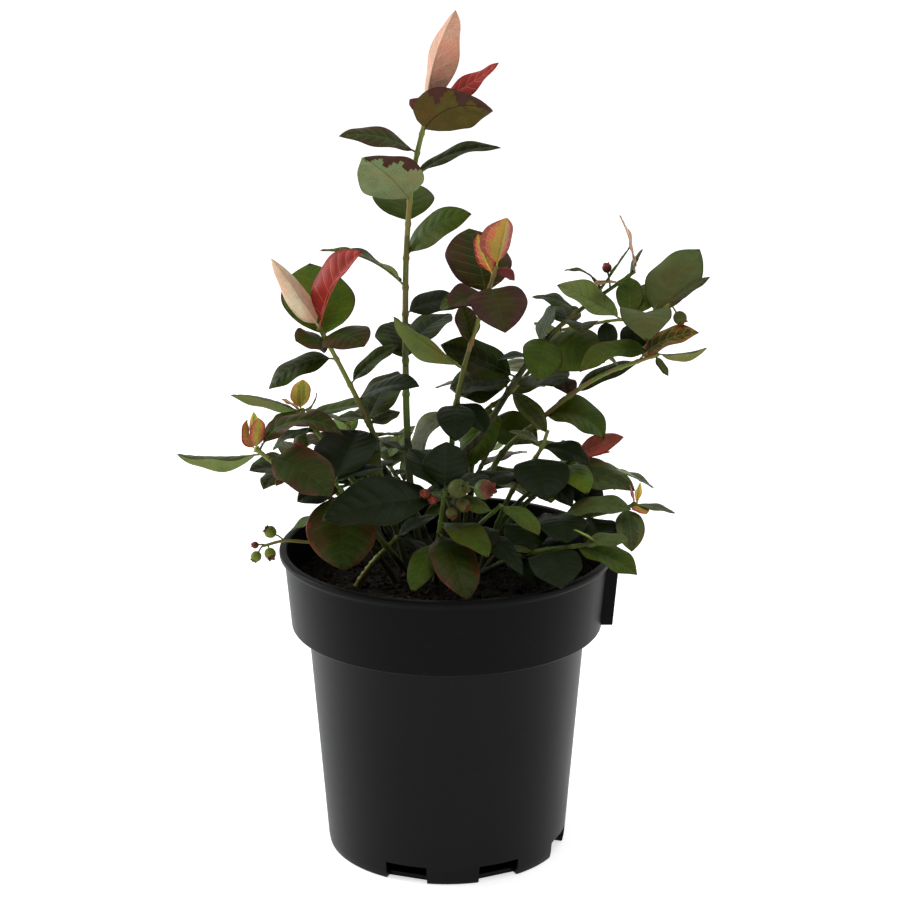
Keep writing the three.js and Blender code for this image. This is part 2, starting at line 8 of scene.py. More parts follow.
import bpy
import numpy as np
from mathutils.bvhtree import BVHTree
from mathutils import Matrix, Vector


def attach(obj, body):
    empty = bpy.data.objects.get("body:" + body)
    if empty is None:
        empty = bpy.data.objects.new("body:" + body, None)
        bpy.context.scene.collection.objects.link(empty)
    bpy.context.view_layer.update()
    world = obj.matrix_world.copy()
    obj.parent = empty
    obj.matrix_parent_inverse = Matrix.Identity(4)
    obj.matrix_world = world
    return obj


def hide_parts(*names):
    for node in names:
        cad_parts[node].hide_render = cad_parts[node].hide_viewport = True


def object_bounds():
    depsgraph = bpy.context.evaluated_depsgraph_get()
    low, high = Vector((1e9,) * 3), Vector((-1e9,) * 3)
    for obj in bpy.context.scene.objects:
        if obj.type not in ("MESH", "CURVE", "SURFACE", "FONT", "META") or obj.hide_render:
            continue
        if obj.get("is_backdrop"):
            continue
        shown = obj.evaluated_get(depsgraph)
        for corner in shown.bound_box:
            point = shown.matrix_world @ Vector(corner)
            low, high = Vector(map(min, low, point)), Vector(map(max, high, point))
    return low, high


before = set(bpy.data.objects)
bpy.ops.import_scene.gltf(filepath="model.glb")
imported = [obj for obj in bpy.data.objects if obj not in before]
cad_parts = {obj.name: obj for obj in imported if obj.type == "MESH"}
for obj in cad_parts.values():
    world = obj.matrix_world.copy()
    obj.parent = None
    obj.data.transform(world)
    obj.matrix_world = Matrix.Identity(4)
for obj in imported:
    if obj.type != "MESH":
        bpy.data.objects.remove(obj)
cad_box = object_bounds()

# ------------------------------------------------------------------ table, light and camera
# The pot stands on a wide white table in a light room: bright behind and overhead, a window on
# the left, and darker on the camera's side, which is what a dark glossy pot mirrors.

TABLE_SIZE = 30.0  # metres
TABLE_WHITE = (0.9, 0.9, 0.9, 1)
TABLE_GLOW = 0.62
ROOM_BRIGHT = 0.85
ROOM_DIM = 0.03
WINDOW_POWER = 22.0
OVERHEAD_POWER = 12.0
FILL_POWER = 2.4
LENS_LENGTH = 102.64  # millimetres, over a frame 36 mm wide
FRAME_WIDTH = 36
CAMERA_PLACE = (0.0018, -1.309, 0.611)  # metres
CAMERA_TILT = 73.47  # degrees up from looking straight down


def add_node(tree, kind, inputs=None, **settings):
    """A shader node with its settings, and with each input set to a value or joined to a socket."""
    made = tree.nodes.new(kind)
    for key, value in settings.items():
        setattr(made, key, value)
    for key, value in (inputs or {}).items():
        if isinstance(value, bpy.types.NodeSocket):
            tree.links.new(value, made.inputs[key])
        else:
            made.inputs[key].default_value = value
    return made


def blank_finish(name):
    """A new material, its node tree and its surface shader."""
    material = bpy.data.materials.new(name)
    material.use_nodes = True
    tree = material.node_tree
    return material, tree, tree.nodes["Principled BSDF"]


def remap(tree, value, span, new_span):
    """A value carried from one span to another, and held at the new span's ends."""
    inputs = {"Value": value, "From Min": span[0], "From Max": span[1]}
    inputs.update({"To Min": new_span[0], "To Max": new_span[1]})
    return add_node(tree, "ShaderNodeMapRange", inputs).outputs["Result"]


def add_area_light(name, place, aim, size, power, colour):
    light = bpy.data.lights.new(name, "AREA")
    light.shape = "DISK"
    light.size = size
    light.energy = power
    light.color = colour
    lamp = bpy.data.objects.new(name, light)
    bpy.context.collection.objects.link(lamp)
    lamp.location = place
    away = np.subtract(place, aim)
    tilt = math.atan2(math.hypot(away[0], away[1]), away[2])
    heading = math.atan2(away[0], -away[1])
    lamp.rotation_euler = (tilt, 0, heading)


table_finish, tree, surface = blank_finish("white_table")
surface.inputs["Base Color"].default_value = TABLE_WHITE
surface.inputs["Emission Color"].default_value = (1, 1, 1, 1)
surface.inputs["Emission Strength"].default_value = TABLE_GLOW
grain = add_node(tree, "ShaderNodeTexNoise", {"Scale": 40.0, "Detail": 3.0}).outputs["Fac"]
tree.links.new(remap(tree, grain, (0, 1), (0.75, 0.9)), surface.inputs["Roughness"])

half_table = TABLE_SIZE / 2
table_corners = [(x * half_table, y * half_table, 0) for x, y in [(-1, -1), (1, -1), (1, 1), (-1, 1)]]
table_mesh = bpy.data.meshes.new("table")
table_mesh.from_pydata(table_corners, [], [(0, 1, 2, 3)])
table_mesh.materials.append(table_finish)
table = bpy.data.objects.new("table", table_mesh)
bpy.context.collection.objects.link(table)
table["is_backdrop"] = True

room = bpy.data.worlds.new("light_room")
room.use_nodes = True
bpy.context.scene.world = room
sky = room.node_tree
way = add_node(sky, "ShaderNodeTexCoord").outputs["Generated"]
depth = add_node(sky, "ShaderNodeSeparateXYZ", {"Vector": way}).outputs["Y"]
strength = remap(sky, depth, (-0.5, 0.35), (ROOM_DIM, ROOM_BRIGHT))
sky.links.new(strength, sky.nodes["Background"].inputs["Strength"])
sky.nodes["Background"].inputs["Color"].default_value = (1, 1, 1, 1)

add_area_light("window", (-1.5, 0.5, 0.75), (0, 0, 0.2), 1.1, WINDOW_POWER, (0.95, 0.98, 1))
add_area_light("overhead", (0.1, -0.7, 1.85), (0, 0, 0.2), 1.4, OVERHEAD_POWER, (1, 1, 1))
add_area_light("fill", (1.5, -0.9, 0.8), (0, 0, 0.25), 1.0, FILL_POWER, (1, 0.98, 0.95))

lens = bpy.data.cameras.new("camera")
lens.lens = LENS_LENGTH
lens.sensor_width = FRAME_WIDTH
camera = bpy.data.objects.new("camera", lens)
camera.location = CAMERA_PLACE
camera.rotation_euler = (math.radians(CAMERA_TILT), 0, 0)
bpy.context.collection.objects.link(camera)
bpy.context.scene.camera = camera
bpy.context.scene.view_settings.view_transform = "Standard"

# ------------------------------------------------------------------ pot
# An injection-moulded nursery pot of black polypropylene: a tapered body, a wider collar with a
# lip, a tab for a label on the collar and six drain notches in its foot, all moulded in one.

POT_HEIGHT = 169
POT_FOOT_RADIUS = 65
COLLAR_FOOT = 126
NECK_RADIUS = 75
COLLAR_RADIUS = 84
COLLAR_TOP_RADIUS = 87.3
LIP_RADIUS = 90
LIP_HEIGHT = 4
WALL = 1.6
FLOOR = 2.5
FOOT_RING = 12  # width of the ring that the pot stands on
FOOT_RECESS = 0.6  # how far the middle of the underside is raised
EDGE_EASE = 1.1  # how far each corner of the pot is rounded over
POT_SIDES = 224
BODY_ROWS = (4, 12, 16, 22, 40, 80)  # heights of rings in the body, close together at the notches
DRAIN_ANGLES = (250.5, 295.5, 340.5, 70.5, 115.5, 160.5)  # degrees round the pot
DRAIN_WIDTH = 23
DRAIN_HEIGHT = 10
DRAIN_DEPTH = 6
TAB_PROUD = 4.6
TAB_WIDTH = 26
TAB_FOOT = 128
TAB_TOP = 162
TAB_EDGE = 0.6  # width of its eased edges
PLASTIC_DARK = (0.0016, 0.0016, 0.0017, 1)
PLASTIC_CLOUDED = (0.0034, 0.0033, 0.0031, 1)
PLASTIC_DUST = (0.011, 0.0105, 0.0095, 1)
PLASTIC_GLOSS = 0.11
# The collar's lower gloss is painted shade, for the dark room that the collar mirrors.
COLLAR_SHADED_GLOSS = PLASTIC_GLOSS * 0.55

UP = np.array([0.0, 0.0, 1.0])
draw = np.random.RandomState(8)


def skin_over(rings, start, end):
    """A closed skin over rings of points that run anticlockwise about the way they advance."""
    count, sides = len(rings), len(rings[0])
    points = np.concatenate([np.reshape(rings, (-1, 3)), [start, end]])
    j = np.arange(sides)
    after = (j + 1) % sides
    last = (count - 1) * sides
    faces = []
    for row in range(count - 1):
        low, high = row * sides, (row + 1) * sides
        faces += zip((low + j).tolist(), (low + after).tolist(), (high + after).tolist(), (high + j).tolist())
    faces += zip([count * sides] * sides, after.tolist(), j.tolist())
    faces += zip([count * sides + 1] * sides, (last + j).tolist(), (last + after).tolist())
    return points, faces


def lathe(profile, sides):
    """A skin turned about the upright axis; the profile's first and last points lie on the axis."""
    angles = np.arange(sides) * 2 * np.pi / sides
    ring = np.stack([np.cos(angles), np.sin(angles), np.zeros(sides)], axis=1)
    rings = [ring * radius + UP * height for radius, height in profile[1:-1]]
    return skin_over(rings, UP * profile[0][1], UP * profile[-1][1])


def eased(profile, ease):
    """The profile with each of its corners rounded over as far as ease on either side."""
    steps = (0, 0.25, 0.5, 0.75, 1)
    corners = np.array(profile, float)
    rounded = [tuple(corners[0])]
    for before, corner, after in zip(corners, corners[1:], corners[2:]):
        reach = [min(ease, np.linalg.norm(end - corner) * 0.45) for end in (before, after)]
        enter, leave = [
            corner + (end - corner) / np.linalg.norm(end - corner) * far
            for end, far in zip((before, after), reach)
        ]
        rounded += [tuple((1 - s) ** 2 * enter + 2 * s * (1 - s) * corner + s * s * leave) for s in steps]
    return rounded + [tuple(corners[-1])]


def noise(tree, place, scale, detail, roughness=0.5):
    """Clouds between 0 and 1, so many to the metre, with finer clouds upon them."""
    inputs = {"Vector": place, "Scale": scale, "Detail": detail, "Roughness": roughness}
    return add_node(tree, "ShaderNodeTexNoise", inputs).outputs["Fac"]


def blend(tree, share, one, other):
    """One colour turned into another by a share between 0 and 1."""
    return add_node(tree, "ShaderNodeMix", {0: share, 6: one, 7: other}, data_type="RGBA").outputs[2]


def make_piece(name, skins, finishes, sharp_angle=180):
    """One object out of many skins, each of points, faces and the finish name of every face."""
    points, faces, names = [], [], []
    for skin_points, skin_faces, skin_names in skins:
        start = sum(len(block) for block in points)
        points.append(skin_points)
        faces += [tuple(corner + start for corner in face) for face in skin_faces]
        names += [skin_names] * len(skin_faces) if isinstance(skin_names, str) else list(skin_names)
    mesh = bpy.data.meshes.new(name)
    mesh.from_pydata((np.concatenate(points) * 0.001).tolist(), [], faces)
    used = sorted(set(names))
    for finish_name in used:
        mesh.materials.append(finishes[finish_name])
    mesh.polygons.foreach_set("material_index", [used.index(n) for n in names])
    mesh.shade_smooth()
    if sharp_angle < 180:
        mesh.set_sharp_from_angle(angle=math.radians(sharp_angle))
    piece = bpy.data.objects.new(name, mesh)
    bpy.context.collection.objects.link(piece)
    return piece


def collar_radius(height):
    share = (height - COLLAR_FOOT) / (POT_HEIGHT - LIP_HEIGHT - COLLAR_FOOT)
    return COLLAR_RADIUS + (COLLAR_TOP_RADIUS - COLLAR_RADIUS) * share


def upright_box(inner, outer, width, low, high, angle):
    """A box that reaches from one radius to another at an angle round the pot."""
    turn = math.radians(angle)
    outward = np.array([math.cos(turn), math.sin(turn), 0])
    across = np.array([-math.sin(turn), math.cos(turn), 0])
    plan = [(outer, -1), (outer, 1), (inner, 1), (inner, -1)]
    corners = np.array([outward * radius + across * side * width / 2 for radius, side in plan])
    rings = [corners + UP * low, corners + UP * high]
    middle = outward * (inner + outer) / 2
    return skin_over(rings, middle + UP * low, middle + UP * high)


plastic, tree, surface = blank_finish("black_polypropylene")
where = add_node(tree, "ShaderNodeTexCoord").outputs["Object"]
flow = add_node(tree, "ShaderNodeMapping", {"Vector": where, "Scale": (60.0, 60.0, 7.0)}).outputs["Vector"]
clouds = noise(tree, flow, 1.0, 5.0)
dust = noise(tree, where, 220.0, 8.0, 0.7)
tone = blend(tree, clouds, PLASTIC_DARK, PLASTIC_CLOUDED)
dusty = blend(tree, remap(tree, dust, (0.62, 0.75), (0, 1)), tone, PLASTIC_DUST)
tree.links.new(dusty, surface.inputs["Base Color"])
tree.links.new(remap(tree, clouds, (0, 1), (0.36, 0.46)), surface.inputs["Roughness"])
surface.inputs["Specular IOR Level"].default_value = PLASTIC_GLOSS
grain = noise(tree, where, 1500.0, 2.0)
bump = add_node(tree, "ShaderNodeBump", {"Height": grain, "Strength": 0.25, "Distance": 0.0001})
tree.links.new(bump.outputs["Normal"], surface.inputs["Normal"])
# The collar and lip take a copy of the plastic with less gloss: painted shade, for the dark room that they
# mirror.
collar_shaded_plastic = plastic.copy()
collar_shaded_plastic.name = "collar_shaded_polypropylene"
collar_shaded_surface = collar_shaded_plastic.node_tree.nodes["Principled BSDF"]
collar_shaded_surface.inputs["Specular IOR Level"].default_value = COLLAR_SHADED_GLOSS
pot_finishes = {"body": plastic, "collar": collar_shaded_plastic}

body_taper = (NECK_RADIUS - POT_FOOT_RADIUS) / COLLAR_FOOT
outside = [
    (0, FOOT_RECESS),
    (POT_FOOT_RADIUS - FOOT_RING - 1, FOOT_RECESS),
    (POT_FOOT_RADIUS - FOOT_RING, 0),
    (POT_FOOT_RADIUS - 0.4, 0),
    *[(POT_FOOT_RADIUS + body_taper * height, height) for height in BODY_ROWS],
    (NECK_RADIUS, COLLAR_FOOT),
    (COLLAR_RADIUS - 0.2, COLLAR_FOOT),
    (COLLAR_TOP_RADIUS, POT_HEIGHT - LIP_HEIGHT - 0.6),
    (LIP_RADIUS - 0.1, POT_HEIGHT - LIP_HEIGHT + 0.6),
    (LIP_RADIUS, POT_HEIGHT - 0.1),
]
inside = [
    (collar_radius(POT_HEIGHT) - WALL, POT_HEIGHT),
    (collar_radius(COLLAR_FOOT + WALL) - WALL, COLLAR_FOOT + WALL),
    (NECK_RADIUS - WALL, COLLAR_FOOT + WALL),
    (POT_FOOT_RADIUS - WALL, FLOOR),
    (0, FLOOR),
]
pot_profile = eased(outside + inside, EDGE_EASE)
pot_points, pot_faces = lathe(pot_profile, POT_SIDES)
pot_names = []
for low, high in zip(pot_profile[1:-2], pot_profile[2:-1]):
    in_collar = (low[1] + high[1]) / 2 > COLLAR_FOOT + 0.5
    pot_names += ["collar" if in_collar else "body"] * POT_SIDES
pot_names += ["body"] * POT_SIDES * 2
body = make_piece("pot_body", [(pot_points, pot_faces, pot_names)], pot_finishes, 40)

cutters = []
for angle in DRAIN_ANGLES:
    inner, outer = POT_FOOT_RADIUS - DRAIN_DEPTH, POT_FOOT_RADIUS + 5
    cutter = upright_box(inner, outer, DRAIN_WIDTH, -DRAIN_HEIGHT, DRAIN_HEIGHT, angle)
    cutters.append((*cutter, "body"))
notches = make_piece("drain_cutters", cutters, pot_finishes)
cut = body.modifiers.new("drains", "BOOLEAN")
cut.operation = "DIFFERENCE"
cut.solver = "EXACT"
cut.object = notches
bpy.context.view_layer.update()
cut_mesh = bpy.data.meshes.new_from_object(body.evaluated_get(bpy.context.evaluated_depsgraph_get()))
body.modifiers.clear()
body.data = cut_mesh
cut_mesh.set_sharp_from_angle(angle=math.radians(35))
bpy.data.objects.remove(notches)

tab_height = TAB_TOP - TAB_FOOT
tab_lean = (collar_radius(TAB_TOP) - collar_radius(TAB_FOOT)) / tab_height
tab_face = COLLAR_RADIUS + TAB_PROUD + TAB_EDGE
tab_points, tab_faces = upright_box(COLLAR_RADIUS - WALL, tab_face, TAB_WIDTH, 0, tab_height, 0)
tab_points = tab_points + np.outer(tab_points[:, 2], [tab_lean, 0, 0]) + UP * TAB_FOOT
tab = make_piece("label_tab", [(tab_points, tab_faces, "collar")], pot_finishes, 40)
bevel = tab.modifiers.new("moulded_edges", "BEVEL")
bevel.width = TAB_EDGE * 0.001
bevel.segments = 3

for piece in (body, tab):
    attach(piece, "root")
    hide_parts("pot")

# ------------------------------------------------------------------ potting mix
# Dark peat and bark fines, filled in and watered so that they have sunk a little at the wall. The
# top is rough, with loose crumbs, bark chips and coir fibres lying on it.

MIX_TOP = 151
MIX_EDGE_DROP = 2.5
MIX_FLAT = 0.6  # share of the radius within which the top is level
MIX_CLEARANCE = 0.6  # from the pot's wall
MIX_EDGE_RADIUS = collar_radius(MIX_TOP) - WALL - MIX_CLEARANCE
# Radius and height of the mix inside the pot, where it keeps behind the drain notches.
MIX_BELOW = [(52, 2.8), (52, 13), (65.5, 18), (72.6, 126), (72.6, 128.2), (82, 128.2)]
LUMP_DEPTHS = {14: 0.9, 6: 0.6, 3: 0.4, 1.6: 0.3}  # by the length of the waves
MIX_SECTORS = 180
MIX_RINGS = 70
CRUMBS = 1500
CHIPS = 170
CHIP_SECTION = [(-0.5, -0.2), (0.5, -0.25), (0.45, 0.25), (-0.4, 0.3)]
FIBRES = 130
FIBRE_RADIUS = 0.13
PEAT_TONES = ((0.004, 0.003, 0.0022, 1), (0.02, 0.014, 0.009, 1))
CHIP_TONES = ((0.02, 0.011, 0.006, 1), (0.075, 0.045, 0.024, 1))
FIBRE_TONES = ((0.05, 0.032, 0.016, 1), (0.14, 0.1, 0.055, 1))


def mix_height(x, y):
    slope = (np.hypot(x, y) / MIX_EDGE_RADIUS - MIX_FLAT) / (1 - MIX_FLAT)
    return MIX_TOP - MIX_EDGE_DROP * np.maximum(0, slope)


mix_waves = {length: draw.uniform(0, 2 * math.pi, (5, 2)) for length in LUMP_DEPTHS}


def lumps(x, y):
    """How far the mix stands above its mean height: many crossing waves of a few lengths."""
    height = np.zeros(np.shape(x))
    for length, depth in LUMP_DEPTHS.items():
        for turn, shift in mix_waves[length]:
            way = x * math.cos(turn) + y * math.sin(turn)
            height = height + depth / 3 * np.sin(way * 2 * math.pi / length + shift)
    return height


def mix_finish(name, tones, bump_depth):
    material, tree, surface = blank_finish(name)
    where = add_node(tree, "ShaderNodeTexCoord").outputs["Object"]
    clouds = noise(tree, where, 520.0, 7.0, 0.7)
    tone = blend(tree, remap(tree, clouds, (0.35, 0.75), (0, 1)), *tones)
    tree.links.new(tone, surface.inputs["Base Color"])
    surface.inputs["Roughness"].default_value = 0.95
    surface.inputs["Specular IOR Level"].default_value = 0.2
    bump = add_node(tree, "ShaderNodeBump", {"Height": clouds, "Distance": bump_depth})
    tree.links.new(bump.outputs["Normal"], surface.inputs["Normal"])
    return material


mix_finishes = {
    "peat": mix_finish("dark_peat", PEAT_TONES, 0.0006),
    "bark_chip": mix_finish("bark_chips", CHIP_TONES, 0.0003),
    "fibre": mix_finish("coir_fibre", FIBRE_TONES, 0.0001),
}

spokes = np.arange(MIX_SECTORS) * 2 * np.pi / MIX_SECTORS
mix_rings = []
for radius, height in MIX_BELOW:
    heights = np.full(MIX_SECTORS, height)
    mix_rings.append(np.stack([radius * np.cos(spokes), radius * np.sin(spokes), heights], 1))
for share in np.linspace(1, 0.01, MIX_RINGS):
    x = MIX_EDGE_RADIUS * share * np.cos(spokes)
    y = MIX_EDGE_RADIUS * share * np.sin(spokes)
    mix_rings.append(np.stack([x, y, mix_height(x, y) + lumps(x, y)], 1))
mix_skins = [(*skin_over(mix_rings, UP * MIX_BELOW[0][1], UP * (MIX_TOP + lumps(0, 0))), "peat")]


def spread(count):
    """Places strewn evenly over the mix, out to just short of the wall."""
    angle, share = draw.uniform(0, 2 * np.pi, count), np.sqrt(draw.uniform(0, 1, count)) * 0.975
    x, y = MIX_EDGE_RADIUS * share * np.cos(angle), MIX_EDGE_RADIUS * share * np.sin(angle)
    return np.stack([x, y, mix_height(x, y) + lumps(x, y)], 1)


for spot in spread(CRUMBS):
    size = 0.5 + 1.6 * draw.uniform() ** 3
    angles = np.arange(6) * np.pi / 3 + draw.uniform(0, 1)
    squash = draw.uniform(0.6, 1.3, 3)
    rings = []
    for width, height in [(0.8, -0.4), (1, 0.15), (0.6, 0.7)]:
        ring = np.stack([width * np.cos(angles), width * np.sin(angles), np.full(6, height)], 1)
        rings.append(spot + squash * size * ring * draw.uniform(0.8, 1.2, (6, 1)))
    tint = "bark_chip" if draw.uniform() < 0.16 else "peat"
    mix_skins.append((*skin_over(rings, spot - UP * size * 0.6, spot + UP * size * 0.9), tint))
for spot in spread(CHIPS):
    length, width = draw.uniform(2, 6), draw.uniform(0.8, 2.2)
    turn, lean = draw.uniform(0, np.pi), draw.uniform(-0.5, 0.5)
    along = np.array([math.cos(turn), math.sin(turn), lean])
    across = np.array([-math.sin(turn), math.cos(turn), draw.uniform(-0.4, 0.4)])
    aside, lift = np.array(CHIP_SECTION).T[..., None]
    rings = []
    for share, wide in [(0.5, 0.6), (0.1, 1), (-0.3, 0.9), (-0.5, 0.4)]:
        rings.append(spot + along * length * share + across * width * wide * aside + UP * lift)
    ends = (spot + along * length * 0.52, spot - along * length * 0.52)
    mix_skins.append((*skin_over(rings, *ends), "bark_chip"))


def unit(vectors):
    return vectors / np.linalg.norm(vectors, axis=-1, keepdims=True)


def tube(spots, radii, sides, reference):
    """Rings of points round a course. radii is one size, one for each ring or one for each point."""
    along = unit(np.gradient(spots, axis=0))
    across = unit(np.cross(reference, along))
    over = np.cross(along, across)
    angles = np.arange(sides) * 2 * np.pi / sides
    sizes = np.asarray(radii, float)
    sizes = sizes[:, None] if sizes.ndim == 1 else sizes
    wide = np.broadcast_to(sizes, (len(spots), sides))[..., None]
    ring = across[:, None] * np.cos(angles)[:, None] + over[:, None] * np.sin(angles)[:, None]
    return spots[:, None] + ring * wide


for spot in spread(FIBRES):
    turn, length, bow = draw.uniform(0, 2 * np.pi), draw.uniform(5, 16), draw.uniform(-0.25, 0.25)
    along = np.array([math.cos(turn), math.sin(turn), 0])
    across = np.array([-math.sin(turn), math.cos(turn), 0])
    steps = np.linspace(-0.5, 0.5, 9)[:, None]
    course = spot + along * length * steps + across * length * bow * (steps**2 * 4 - 1) + UP * 0.6
    course[:, 2] += draw.uniform(0, 1.2) * np.sin(steps[:, 0] * 3)
    course[:, 2] = np.maximum(course[:, 2], mix_height(course[:, 0], course[:, 1]) + 0.2)
    if np.hypot(course[:, 0], course[:, 1]).max() < MIX_EDGE_RADIUS:
        rings = tube(course, FIBRE_RADIUS, 4, UP)
        mix_skins.append((*skin_over(rings, course[0], course[-1]), "fibre"))

mix = make_piece("potting_mix_surface", mix_skins, mix_finishes)
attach(mix, "root")
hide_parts("potting_mix")
